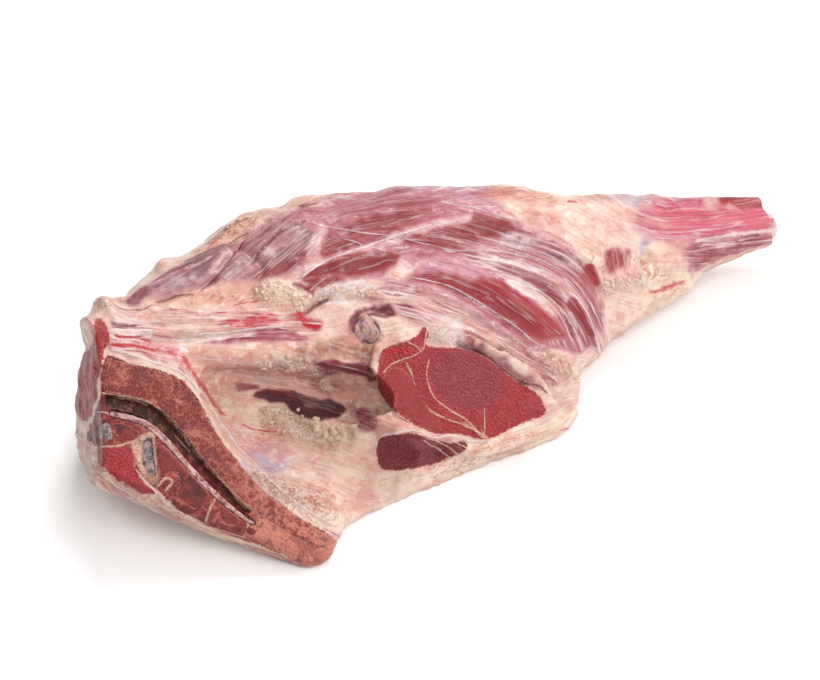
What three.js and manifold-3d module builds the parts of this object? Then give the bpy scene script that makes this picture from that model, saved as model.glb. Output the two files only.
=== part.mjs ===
// A raw whole leg of lamb, chump on: thigh, knee and shank, with half of the pelvis and of the
// tail end of the spine still in it. It lies on its outer side. One saw cut, down the middle of
// the carcass, shows twice on the near side: across the sacrum and the spines behind it, and
// across the aitch bone with the muscle round it. Between the two lies the hollow of the pelvis.
// Millimetres, +Z up, +X along the leg to the shank, -Y to the side that the saw cut faces.
import * as THREE from 'three';
import { LoftGeometry } from 'three/addons/geometries/LoftGeometry.js';
import { mergeVertices } from 'three/addons/utils/BufferGeometryUtils.js';
import Module from 'manifold-3d';

const wasm = await Module();
wasm.setup();
const { clamp, lerp, smoothstep, degToRad } = THREE.MathUtils;

// ---------------------------------------------------------------- driving sizes
// The tables below lay out a leg DRAWN_LENGTH long. The finished leg is LEG_LENGTH long.
const LEG_LENGTH = 480;
const DRAWN_LENGTH = 497.8;
const ORIGIN = new THREE.Vector3(30.6, 4.75, 0); // middle of the drawn leg, on the table under it

// The saw cut: a plane by its normal and its distance from the drawn origin.
const SAW_NORMAL = new THREE.Vector3(0.111, -0.6, 0.792).normalize();
const SAW_OFFSET = 66.5;
const BELOW_SAW = 6; // how far under the cut's plane the uncut flesh stays
// The cut across the loin that frees the leg, and the trimmed flank beside it.
const CHUMP_NORMAL = new THREE.Vector3(-0.971, 0.124, 0.204).normalize();
const CHUMP_OFFSET = 214;
const FLANK_NORMAL = new THREE.Vector3(-0.72, 0.64, 0.27).normalize();
const FLANK_OFFSET = 184;
const DOWN = new THREE.Vector3(0, 0, -1);

const GAP = 0.4; // between two solids that touch
const BONE_DEPTH = 12;
const CARTILAGE_DEPTH = 10;
const TABLE_CLEARANCE = 5; // flesh left under a bone where the saw cut comes down to the table
const HOLLOW_CLEARANCE = 1.2; // flesh left between a bone and the pelvic hollow
const SHANK_BONE_RADIUS = 8.5;
const SHANK_BONE_LENGTH = 65;
const SHANK_BONE_END = [279, 51, 27.3];
const SHANK_BONE_TILT = 0.06;

// The loft over the flesh: sections across the leg, each of points round its core.
const LOFT_START = -246;
const SHANK_END = 274;
const STATION_STEP = 7.5;
const TURNS = 62;
const REACH = 260; // farther out than any flesh, from the core

// Muscles and fat pads: [name, from, to, radius there, radius here, height over width, blend].
const BLEND = 16;
const CREASE = 5;
const UNDER_SAW = [
  ['rump', [-128, 24, 46], [-60, 40, 46], 74, 76, 0.8, BLEND],
  ['chump', [-206, 12, 66], [-130, 26, 56], 50, 62, 0.9, BLEND],
  ['flank', [-166, 52, 76], [-64, 88, 60], 33, 32, 1, BLEND],
  ['psoas', [-225, 16, 94], [-44, -8, 62], 24, 24, 1, BLEND],
  ['thigh', [-30, 14, 38], [70, 12, 38], 62, 58, 0.8, BLEND],
  ['front_of_thigh', [-60, 71, 54], [108, 61, 44], 60.5, 42, 1, BLEND],
  ['aitch_muscle', [-12, -30, 36], [40, -42, 22], 34, 30, 1, BLEND],
  ['gracilis', [0, 4, 68], [72, -22, 50], 28, 28, 1, BLEND],
  ['back_of_thigh', [72, -22, 46], [78, -50, 22], 30, 26, 1, BLEND],
  ['knee', [108, 26, 40], [165, 43, 36], 50, 40, 1, BLEND],
  ['shank', [150, 46, 38], [286, 51, 26], 40, 10, 1, BLEND],
  ['pelvic_floor', [-80, -82, 6], [64, -58, 8], 12, 16, 1, BLEND],
  ['shin_muscle', [196, 56, 46], [SHANK_END, 58, 36], 14, 6, 1, CREASE],
  ['heel_tendon', [190, 38, 26], [SHANK_END, 44, 18], 20, 6, 1, CREASE],
  ['rectus', [-48, 60, 84], [86, 56, 67], 29, 24, 1, CREASE],
  ['adductor', [-5, 20, 66], [82, -10, 37], 22.5, 25, 1, CREASE],
  ['gracilis_belly', [98, 30, 59], [108, -5, 26], 22, 22, 1, CREASE],
  ['flank_strip', [-172, 42, 97], [-98, 74, 97], 12.5, 12.5, 0.9, CREASE],
];
// These reach the saw cut.
const SAWN = [
  ['back', [-226, -6, 84], [-105, -107, 6], 46, 16, 1, BLEND],
  ['web', [-104, -82, 18], [-16, -44, 34], 26, 30, 1, BLEND],
  ['sacral_rim', [-160, -19, 74], [-144, -51, 48], 17, 16, 1, BLEND],
];
const ROUNDING = 26;

// On the saw cut, s runs along it to the shank and t up it. A ribbon is a row of
// [s, t, half width]. An outline is a row of [s, t].
const SACRUM = [
  [-206.5, 44, 10], [-195, 37.8, 9.6], [-180.5, 30.2, 9.8], [-168.9, 17.5, 10.2], [-162.2, 2, 9],
  [-156.4, -15, 7.8], [-147.6, -34, 7.3], [-138, -50.5, 6.6], [-121.5, -69, 6], [-112, -78.5, 5.4],
];
const CANAL = [
  [-212, 29.5, 3.6], [-201, 24.6, 3.8], [-188.5, 18, 4.2], [-181.3, 7, 4], [-174, -8, 3.6],
  [-166.2, -23, 3], [-155, -42, 2.4], [-146, -54, 1.6], [-138, -62, 1.1],
];
const CANAL_DEPTH = 8;
const CORD = [
  [-211, 21.2, 1.9], [-200, 16, 2.1], [-190, 9, 2.2], [-181.5, -3.5, 2.2], [-174.5, -18, 2.1],
  [-166, -33.5, 2], [-154.5, -51, 1.8], [-143.5, -63.5, 1.3],
];
const CORD_TOP = 2;
const CORD_BOTTOM = 7;
const SPINES = [
  [[-212, 14], [-206, 13.2], [-199.5, 8.6], [-197, 5], [-200.5, 1.8], [-206, 2], [-210.5, 6]],
  [
    [-189, -1.5], [-184, -8], [-177, -20], [-170.5, -32], [-166, -40], [-168, -43.5], [-172.5, -47],
    [-177.5, -46.2], [-182.5, -41.4], [-186.5, -36], [-182.5, -31], [-181.5, -23], [-186, -22], [-191, -23],
    [-191.5, -13],
  ],
  [[-162.5, -46.5], [-156.5, -53.5], [-152.5, -58], [-154.5, -61.8], [-160, -60], [-164, -55.8]],
  [[-149.5, -63.8], [-146.5, -64.8], [-144.6, -67.4], [-146.4, -69.8], [-149.8, -69.2], [-151, -66.4]],
];
const CARTILAGES = [
  [[-217, 15], [-213.6, 14.6], [-213.4, 6], [-216.5, 4.8], [-218.6, 8.5]],
  [[-196, -0.5], [-192.6, -0.8], [-193.6, -12], [-194.6, -20.5], [-198.5, -20], [-200.5, -13], [-199, -6]],
];
const AITCH_BOSS = [
  [-50, -4], [-46, 12], [-38, 27], [-22, 33], [2, 31], [24, 19], [44, 1], [62, -20],
  [68, -38], [50, -52], [18, -55], [-8, -48], [-28, -36], [-44, -20],
];
const AITCH_BOSS_DEPTH = 48;
const AITCH_BONE = [
  [-42, -3], [-39, 7], [-30, 10.5], [-22, 4], [-20, -10], [-15, -24], [-10, -33], [-20, -33], [-34, -19],
];
// The round head of cartilage beside the aitch bone, and the tendon along the hollow's rim, which
// runs between two points [s, t, depth].
const KNOB = [-37.5, 38, 12];
const KNOB_RADIUS = 8.5;
const TENDON = [[-150, 44, 11], [-78, 32, 11]];
const TENDON_RADIUS = 7.5;
// The pelvic hollow is scooped out by eggs: [s, t, depth of centre, length, width, height, turn],
// with half sizes, and the turn in degrees.
const HOLLOW = [
  [-106, -8, 0, 60, 36, 34, -47],
  [-70, -46, -4, 44, 32, 26, -30],
  [-68, 2, 6, 34, 18, 22, -20],
];

// ---------------------------------------------------------------- the flesh as a field
const smoothMin = (a, b, k) => {
  const h = Math.max(k - Math.abs(a - b), 0) / k;
  return Math.min(a, b) - (h * h * k) / 4;
};
const smoothMax = (a, b, k) => -smoothMin(-a, -b, k);
const heightOver = (normal, offset, x, y, z) => normal.x * x + normal.y * y + normal.z * z - offset;

// Distance to one muscle, a tapered rod with round ends that lies flat.
function muscleDistance([, from, to, r0, r1, flat], x, y, z) {
  const dx = to[0] - from[0];
  const dy = to[1] - from[1];
  const dz = to[2] - from[2];
  const along = (x - from[0]) * dx + (y - from[1]) * dy + (z - from[2]) * dz;
  const t = clamp(along / (dx * dx + dy * dy + dz * dz), 0, 1);
  const away = Math.hypot(x - from[0] - t * dx, y - from[1] - t * dy, (z - from[2] - t * dz) / flat);
  return (away - lerp(r0, r1, t)) * flat;
}

function fleshDistance(x, y, z) {
  let d = Infinity;
  for (const muscle of UNDER_SAW) d = smoothMin(d, muscleDistance(muscle, x, y, z), muscle[6]);
  d = smoothMax(d, heightOver(SAW_NORMAL, SAW_OFFSET - BELOW_SAW, x, y, z), ROUNDING);
  for (const muscle of SAWN) d = smoothMin(d, muscleDistance(muscle, x, y, z), muscle[6]);
  return smoothMax(d, heightOver(FLANK_NORMAL, FLANK_OFFSET, x, y, z), ROUNDING);
}

// How far out the flesh reaches from a point of the core, in one direction across the leg.
function reachOfFlesh(x, cy, cz, angle) {
  const dy = Math.cos(angle);
  const dz = Math.sin(angle);
  const inside = (r) => fleshDistance(x, cy + dy * r, cz + dz * r) < 0;
  let near = REACH;
  while (near > 4 && !inside(near)) near -= 4;
  let far = near + 4;
  for (let i = 0; i < 10; i++) {
    const mid = (near + far) / 2;
    if (inside(mid)) near = mid;
    else far = mid;
  }
  return near;
}

function fleshLoft() {
  const sections = [];
  const stations = Math.round((SHANK_END - LOFT_START) / STATION_STEP);
  for (let i = 0; i <= stations; i++) {
    const x = lerp(LOFT_START, SHANK_END, i / stations);
    const bend = smoothstep(x, -200, 200);
    const cy = lerp(-14, 50, bend);
    const cz = lerp(44, 32, bend);
    const ring = [];
    for (let j = 0; j < TURNS; j++) {
      const angle = (j / TURNS) * 2 * Math.PI;
      const r = reachOfFlesh(x, cy, cz, angle);
      ring.push(new THREE.Vector3(x, cy + Math.cos(angle) * r, cz + Math.sin(angle) * r));
    }
    sections.push(ring);
  }
  return new LoftGeometry(sections, { capStart: true, capEnd: true });
}

// ---------------------------------------------------------------- solids
function solid(geometry) {
  const flat = geometry.index ? geometry.toNonIndexed() : geometry;
  const bare = new THREE.BufferGeometry().setAttribute('position', flat.getAttribute('position'));
  const merged = mergeVertices(bare, 1e-3);
  return new wasm.Manifold(new wasm.Mesh({
    numProp: 3,
    vertProperties: merged.attributes.position.array,
    triVerts: new Uint32Array(merged.index.array),
  }));
}

// All that lies over a plane.
function over(normal, offset) {
  const side = 900;
  const box = new THREE.BoxGeometry(side, side, side).translate(0, 0, offset + side / 2);
  const turn = new THREE.Quaternion().setFromUnitVectors(new THREE.Vector3(0, 0, 1), normal);
  return solid(box.applyQuaternion(turn));
}

// From the saw cut's own frame, with its height over the cut as third axis, to the leg's.
const SAW_S = new THREE.Vector3(1, 0, 0).addScaledVector(SAW_NORMAL, -SAW_NORMAL.x).normalize();
const SAW_T = new THREE.Vector3().crossVectors(SAW_NORMAL, SAW_S);
const FROM_SAW = new THREE.Matrix4().makeBasis(SAW_S, SAW_T, SAW_NORMAL)
  .setPosition(SAW_NORMAL.clone().multiplyScalar(SAW_OFFSET));

function scoop([s, t, depth, length, width, height, turn], grow = 0) {
  const egg = new THREE.SphereGeometry(1, 26, 16).scale(length + grow, width + grow, height + grow);
  egg.rotateZ(degToRad(turn)).translate(s, t, -depth);
  return solid(egg.applyMatrix4(FROM_SAW));
}

function ball([s, t, depth], radius) {
  return solid(new THREE.SphereGeometry(radius, 20, 14).translate(s, t, -depth).applyMatrix4(FROM_SAW));
}

function rod([from, to], radius) {
  const a = new THREE.Vector3(from[0], from[1], -from[2]);
  const b = new THREE.Vector3(to[0], to[1], -to[2]);
  const along = b.clone().sub(a);
  const capsule = new THREE.CapsuleGeometry(radius, along.length(), 5, 16);
  const turn = new THREE.Quaternion().setFromUnitVectors(new THREE.Vector3(0, 1, 0), along.normalize());
  capsule.applyQuaternion(turn);
  const middle = a.lerp(b, 0.5);
  return solid(capsule.translate(middle.x, middle.y, middle.z).applyMatrix4(FROM_SAW));
}

// A plate in the saw cut: this outline, from one depth to another, and grown all round.
function plate(outline, top, bottom, grow = 0) {
  const curve = new THREE.SplineCurve([...outline, outline[0]].map(([s, t]) => new THREE.Vector2(s, t)));
  const ring = curve.getSpacedPoints(outline.length * 2).slice(0, -1);
  if (THREE.ShapeUtils.isClockWise(ring)) ring.reverse();
  const grown = ring.map((point, i) => {
    const along = ring[(i + 1) % ring.length].clone().sub(ring.at(i - 1)).normalize();
    return point.clone().add(new THREE.Vector2(along.y, -along.x).multiplyScalar(grow));
  });
  const depth = bottom - top + 2 * grow;
  const extrude = new THREE.ExtrudeGeometry(new THREE.Shape(grown), { depth, bevelEnabled: false });
  return solid(extrude.translate(0, 0, -bottom - grow).applyMatrix4(FROM_SAW));
}

// A ribbon's outline: out along one side of its middle line and back along the other.
function ribbonOutline(ribbon) {
  const middle = new THREE.CatmullRomCurve3(ribbon.map(([s, t, half]) => new THREE.Vector3(s, t, half)));
  const steps = ribbon.length * 2;
  const left = [];
  const right = [];
  for (let i = 0; i <= steps; i++) {
    const { x, y, z: half } = middle.getPoint(i / steps);
    const along = middle.getTangent(i / steps).setZ(0).normalize();
    left.push([x - along.y * half, y + along.x * half]);
    right.push([x + along.y * half, y - along.x * half]);
  }
  return [...left, ...right.reverse()];
}

// ---------------------------------------------------------------- the leg
const table = over(DOWN, 0);
// What is too near the table or the hollow for a bone to be let in.
const outOfReach = (gap) => HOLLOW.reduce(
  (all, egg) => all.add(scoop(egg, HOLLOW_CLEARANCE + gap)),
  over(DOWN, -TABLE_CLEARANCE - gap),
);
const sacrumOutline = ribbonOutline(SACRUM);
const cordOutline = ribbonOutline(CORD);

// The pieces let into the saw cut: [name, finish, outline, top, bottom].
const LET_IN = [
  ['sacrum', 'bone', sacrumOutline, 0, BONE_DEPTH],
  ['aitch_bone', 'bone', AITCH_BONE, 0, BONE_DEPTH],
  ...SPINES.map((outline, i) => [`spine_${i + 1}`, 'bone', outline, 0, BONE_DEPTH]),
  ...CARTILAGES.map((outline, i) => [`cartilage_${i + 1}`, 'cartilage', outline, 0, CARTILAGE_DEPTH]),
  ['spinal_cord', 'cord', cordOutline, CORD_TOP, CORD_BOTTOM],
];

function shankBone(grow) {
  const length = SHANK_BONE_LENGTH + 2 * grow;
  const radius = SHANK_BONE_RADIUS + grow;
  const rod = new THREE.CylinderGeometry(radius * 0.96, radius * 1.15, length, 28);
  rod.rotateZ(-Math.PI / 2).translate(-SHANK_BONE_LENGTH / 2, 0, 0).rotateY(SHANK_BONE_TILT);
  return solid(rod.translate(...SHANK_BONE_END));
}

function buildFlesh() {
  let flesh = solid(fleshLoft());
  flesh = flesh.subtract(over(SAW_NORMAL, SAW_OFFSET)).subtract(over(CHUMP_NORMAL, CHUMP_OFFSET));
  flesh = flesh.add(plate(AITCH_BOSS, 0, AITCH_BOSS_DEPTH)).subtract(table);
  for (const egg of HOLLOW) flesh = flesh.subtract(scoop(egg));
  flesh = flesh.add(rod(TENDON, TENDON_RADIUS)).subtract(ball(KNOB, KNOB_RADIUS + GAP));
  const kept = outOfReach(0);
  flesh = flesh.subtract(plate(ribbonOutline(CANAL), -1, CANAL_DEPTH).subtract(kept));
  for (const [, , outline, , bottom] of LET_IN) {
    flesh = flesh.subtract(plate(outline, -1, bottom, GAP).subtract(kept));
  }
  return flesh.subtract(shankBone(GAP));
}

const FINISHES = {
  meat: new THREE.MeshStandardMaterial({ color: 0xb76a6c, roughness: 0.4 }),
  bone: new THREE.MeshStandardMaterial({ color: 0x8c3a3c, roughness: 0.5 }),
  cartilage: new THREE.MeshStandardMaterial({ color: 0x8d9097, roughness: 0.3 }),
  cord: new THREE.MeshStandardMaterial({ color: 0xd9c4bd, roughness: 0.35 }),
};

const leg = new THREE.Group();
leg.scale.setScalar(LEG_LENGTH / DRAWN_LENGTH);
const drawn = new THREE.Group();
drawn.position.copy(ORIGIN).negate();
leg.add(drawn);

function addPiece(name, finish, manifold) {
  const { vertProperties, triVerts } = manifold.getMesh();
  const geometry = new THREE.BufferGeometry();
  geometry.setAttribute('position', new THREE.BufferAttribute(vertProperties, 3));
  geometry.setIndex(new THREE.BufferAttribute(triVerts, 1));
  const mesh = new THREE.Mesh(geometry, FINISHES[finish]);
  mesh.name = name;
  drawn.add(mesh);
}

addPiece('meat', 'meat', buildFlesh());
const keptFromBones = outOfReach(GAP);
for (const [name, finish, outline, top, bottom] of LET_IN) {
  addPiece(name, finish, plate(outline, top, bottom).subtract(keptFromBones));
}
addPiece('aitch_cartilage', 'cartilage', ball(KNOB, KNOB_RADIUS));
addPiece('shank_bone', 'bone', shankBone(0));

export default leg;
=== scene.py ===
import math
import random

import bmesh
import bpy
import numpy as np
from bpy.props import FloatProperty, FloatVectorProperty, PointerProperty
from mathutils import Matrix, Vector, noise
from mathutils.bvhtree import BVHTree


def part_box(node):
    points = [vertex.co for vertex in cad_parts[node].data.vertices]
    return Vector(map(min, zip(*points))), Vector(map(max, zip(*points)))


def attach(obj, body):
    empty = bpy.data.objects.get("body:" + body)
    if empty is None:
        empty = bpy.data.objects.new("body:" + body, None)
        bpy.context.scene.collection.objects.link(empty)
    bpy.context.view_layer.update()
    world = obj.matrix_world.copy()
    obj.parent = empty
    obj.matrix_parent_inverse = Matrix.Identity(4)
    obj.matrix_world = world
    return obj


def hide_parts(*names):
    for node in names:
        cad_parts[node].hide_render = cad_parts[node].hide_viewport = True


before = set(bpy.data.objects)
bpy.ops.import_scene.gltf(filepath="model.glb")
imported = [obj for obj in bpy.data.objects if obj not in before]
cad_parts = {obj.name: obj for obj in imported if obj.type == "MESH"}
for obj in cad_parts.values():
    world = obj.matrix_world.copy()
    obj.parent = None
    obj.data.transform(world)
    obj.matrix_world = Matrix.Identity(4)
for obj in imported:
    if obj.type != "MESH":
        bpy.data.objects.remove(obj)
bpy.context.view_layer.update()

bl_info = {
    "name": "Leg of lamb",
    "version": (1, 0, 0),
    "blender": (4, 5, 0),
    "location": "View3D > Sidebar > Leg of lamb",
    "description": "Dresses the solids of a raw whole leg of lamb",
    "category": "Object",
}

# ------------------------------------------------------------------ the view
# Marks on the leg are laid out in pixels of the view that it was drawn from.
VIEW_AZIMUTH = math.radians(-20.8)
VIEW_ELEVATION = math.radians(40)
VIEW_AIM = Vector((-0.0295, -0.0046, 0.0482))
VIEW_DISTANCE = 1.6392
VIEW_WIDTH = 820
VIEW_HEIGHT = 680
VIEW_FOCUS = 2720
PIXEL = VIEW_DISTANCE / VIEW_FOCUS
SENSOR = 36
TURNED_AWAY = -0.05  # a point whose normal leans away by more than this isn't seen


def view_axes():
    """The view's right, up and backward directions."""
    back = Vector((
        math.sin(VIEW_AZIMUTH) * math.cos(VIEW_ELEVATION),
        -math.cos(VIEW_AZIMUTH) * math.cos(VIEW_ELEVATION),
        math.sin(VIEW_ELEVATION),
    ))
    right = Vector((math.cos(VIEW_AZIMUTH), math.sin(VIEW_AZIMUTH), 0))
    return right, back.cross(right), back


def in_view(points):
    """Where points, an array of rows in metres, show in the view, in pixels."""
    right, up, back = (np.array(axis) for axis in view_axes())
    rays = points - (np.array(VIEW_AIM) + back * VIEW_DISTANCE)
    depth = -rays @ back
    across = VIEW_WIDTH / 2 + VIEW_FOCUS * (rays @ right) / depth
    down = VIEW_HEIGHT / 2 - VIEW_FOCUS * (rays @ up) / depth
    return np.stack([across, down], 1)


def view_ray(across, down):
    """Where the view through one of its pixels starts, and which way it goes."""
    right, up, back = view_axes()
    way = right * (across - VIEW_WIDTH / 2) - up * (down - VIEW_HEIGHT / 2) - back * VIEW_FOCUS
    return VIEW_AIM + back * VIEW_DISTANCE, way.normalized()


# ------------------------------------------------------------------ the pieces and the stage
SAW_NORMAL = Vector((0.111, -0.6, 0.792)).normalized()
BONES = ("sacrum", "spine_1", "spine_2", "spine_3", "spine_4", "aitch_bone")
CARTILAGES = ("cartilage_1", "cartilage_2")
FLESH_TRIANGLES = 196000
SMOOTHING = 3  # rounds of smoothing for a rebuilt piece
FADE_ROUNDS = 60  # rounds of spreading that carry the painted side round the leg
# In metres:
WELD = 1e-6  # points closer than this become one
SAW_PROUD = 0.0003  # how far a sawn face stands out of the flesh
SAW_WAVE = 0.0004  # how uneven it is
SAW_SWELL = 0.00055  # how far a let-in piece's walls reach into the flesh
POCKET_OVERLAP = 0.0006  # how far the filling of a pocket reaches into the flesh
UNDER_FACE = 0.003  # how far below the sawn face a point is measured
UNDER_BONE = 0.0016  # how far the flesh lies below a let-in piece's face
CLEAR_OF_SKIN = 0.0012  # where a look back at the view starts
FLOOR_HEIGHT = -0.0005
# In pixels of the view:
CUT_REACH = 20  # how far from a cut face its edge is still measured
LINE_REACH = 12  # how far from a drawn line it is still measured
TAIL = (190, 300)  # between these the sawn bone turns pale towards the tail
# As shares:
RIND_FILM = 0.93  # how thick the fat lies where nothing is painted
RIND_STREAKS = 0.3  # how strongly it is streaked there
BELL_REACH = 2.2  # half widths at which a swell or a pull has faded out
BELL_SLOPE = 1.4  # how steeply it falls away

# The lights: (name, place, width, power as a share of the key's setting, whether wet flesh mirrors it).
LIGHTS = (
    ("key", (0.5, 0.75, 1.4), 0.8, 1.05, True),
    ("front", (0.1, -1.5, 1.4), 1.8, 1.4, False),
    ("glint", (-0.9, -0.2, 1.3), 0.4, 0.12, True),
    ("side", (1.3, -0.5, 0.9), 1.4, 0.6, True),
)
LIGHT_AIM = Vector((0, 0, 0.05))


# ------------------------------------------------------------------ colours
def srgb(red, green, blue):
    """A colour given as a screen shows it, from 0 to 255."""
    def linear(value):
        share = value / 255
        return share / 12.92 if share <= 0.04045 else ((share + 0.055) / 1.055) ** 2.4
    return tuple(linear(value) for value in (red, green, blue))


LIT = 1.46  # how much brighter than its own colour a piece shows on the stage


def colour(name, description, value):
    """A colour of a finish, given as it shows on the stage."""
    own = tuple(part / LIT for part in srgb(*value))
    return FloatVectorProperty(
        name=name, description=description, default=own, size=3, min=0, max=1, subtype="COLOR",
    )


class LegColours(bpy.types.PropertyGroup):
    """The colours of the leg's finishes."""

    rind: colour("Rind", "Outer cover of fat", (238, 208, 194))
    rind_pink: colour("Pink rind", "Where flesh shows through the outer cover", (216, 150, 142))
    cream: colour("Cream fat", "Firm pale fat", (246, 223, 200))
    knee: colour("Knee fat", "Pale fat over the knee", (243, 212, 200))
    peach: colour("Peach fat", "Fat with a blush of flesh", (232, 184, 168))
    yellow: colour("Yellow fat", "Soft yellow fat", (224, 188, 152))
    orange: colour("Orange fat", "Fat stained orange", (222, 140, 104))
    white: colour("White skin", "Thick silver skin", (240, 224, 220))
    grey: colour("Grey film", "Thin film over flesh", (186, 152, 146))
    tan: colour("Tan lining", "Lining of the pelvis in shade", (176, 126, 104))
    # painted shade: the lining of the pelvis as it shows deep in the hollow
    hollow_shade: colour("Brown lining", "Lining deep in the pelvis", (150, 98, 78))
    beige: colour("Beige lining", "Lining of the pelvis", (204, 156, 131))
    membrane: colour("Membrane", "Wet pink membrane", (230, 190, 180))
    lilac: colour("Lilac membrane", "Membrane over gristle", (182, 164, 190))
    crumb: colour("Crumbs", "Crumbly fat", (226, 187, 164))
    rosy: colour("Rosy flesh", "Flesh under clear film", (178, 98, 104))
    mauve: colour("Mauve flesh", "Flesh with a silver sheen", (206, 144, 158))
    dusk: colour("Dusky flesh", "Flank flesh", (134, 78, 84))
    veiled: colour("Veiled flesh", "Flesh under grey film", (136, 80, 78))
    brick: colour("Brick flesh", "Bare muscle", (146, 50, 52))
    crimson: colour("Crimson flesh", "Deep muscle", (164, 54, 60))
    # deep red flesh and spongy pores; in the hollow it stands for painted shade in the deep hole
    wine_and_shade: colour("Wine flesh", "Dark flesh in the hollow", (84, 42, 44))
    # deep red flesh; under the aitch bone, round the knob of gristle and in the hollow it also stands for painted
    # shade
    maroon_and_shade: colour("Maroon flesh", "Dark flesh under the cut", (118, 54, 56))
    cut: colour("Cut flesh", "Fresh cut muscle", (178, 47, 51))
    cut_deep: colour("Deep cut flesh", "Fresh cut muscle in shade", (156, 58, 68))
    cut_dull: colour("Dull cut flesh", "Cut muscle that has dried", (186, 66, 50))
    # granules of cut muscle, lightened as painted glints
    granule_glint: colour("Granules", "Bundle ends in cut muscle", (218, 150, 152))
    violet: colour("Violet flesh", "Vein-coloured strip", (160, 70, 92))
    magenta: colour("Magenta skin", "Blushed skin over the shank bone", (214, 96, 116))
    blood: colour("Blood", "Fresh blood", (196, 30, 44))
    dark: colour("Deep shade", "Deep clefts", (118, 42, 42))
    marrow: colour("Marrow bone", "Spongy red bone", (144, 56, 54))
    marrow_warm: colour("Warm marrow bone", "Spongy bone with fat", (138, 50, 45))
    marrow_pale: colour("Pale marrow bone", "Fatty spongy bone", (214, 132, 112))
    bone_rim: colour("Bone rim", "Hard pale rim of a bone", (236, 190, 168))
    gristle: colour("Gristle", "Grey cartilage", (88, 84, 94))
    cord: colour("Cord", "Spinal cord", (200, 160, 152))
    # the canal's lining, darkened as painted shade of its recess; also the stain on gristle
    canal: colour("Canal", "Lining of the spine's canal", (92, 70, 58))
    vein: colour("Veins", "Fine orange veins and wrinkles in fat", (190, 104, 76))
    red_vein: colour("Red veins", "Fine red veins in fat", (196, 64, 62))
    strand: colour("Strands", "Silver strands over flesh", (244, 222, 220))


class LegSizes(bpy.types.PropertyGroup):
    """The sizes of the leg's finishes."""

    skin_cell: FloatProperty(
        name="Skin cell", description="Size of the cells that the flesh is rebuilt from",
        default=0.00135, min=0.0012, max=0.006, unit="LENGTH",
    )
    bone_cell: FloatProperty(
        name="Bone cell", description="Size of the cells that the bones are rebuilt from",
        default=0.0008, min=0.0004, max=0.003, unit="LENGTH",
    )
    belly: FloatProperty(
        name="Muscle belly", description="How far bare muscle swells over the fat round it",
        default=0.0011, min=0, max=0.004, unit="LENGTH",
    )
    lump: FloatProperty(
        name="Lumps", description="Height of the lumps of loose fat",
        default=0.0016, min=0, max=0.004, unit="LENGTH",
    )
    ridge: FloatProperty(
        name="Silver ridges", description="Height of the strands of silver skin",
        default=0.0004, min=0, max=0.002, unit="LENGTH",
    )


class LegStage(bpy.types.PropertyGroup):
    """The floor and the light."""

    floor_size: FloatProperty(
        name="Floor size", description="Width of the floor", default=14, min=1, max=60, unit="LENGTH",
    )
    floor_colour: FloatVectorProperty(
        name="Floor colour", description="Colour of the floor",
        default=(0.97, 0.97, 0.97), size=3, min=0, max=1, subtype="COLOR",
    )
    fill: FloatProperty(
        name="Fill light", description="Strength of the light from all round", default=0.34, min=0, max=5,
    )
    key: FloatProperty(
        name="Key light", description="Power of the light from above", default=22, min=0, max=500, unit="POWER",
    )


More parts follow.
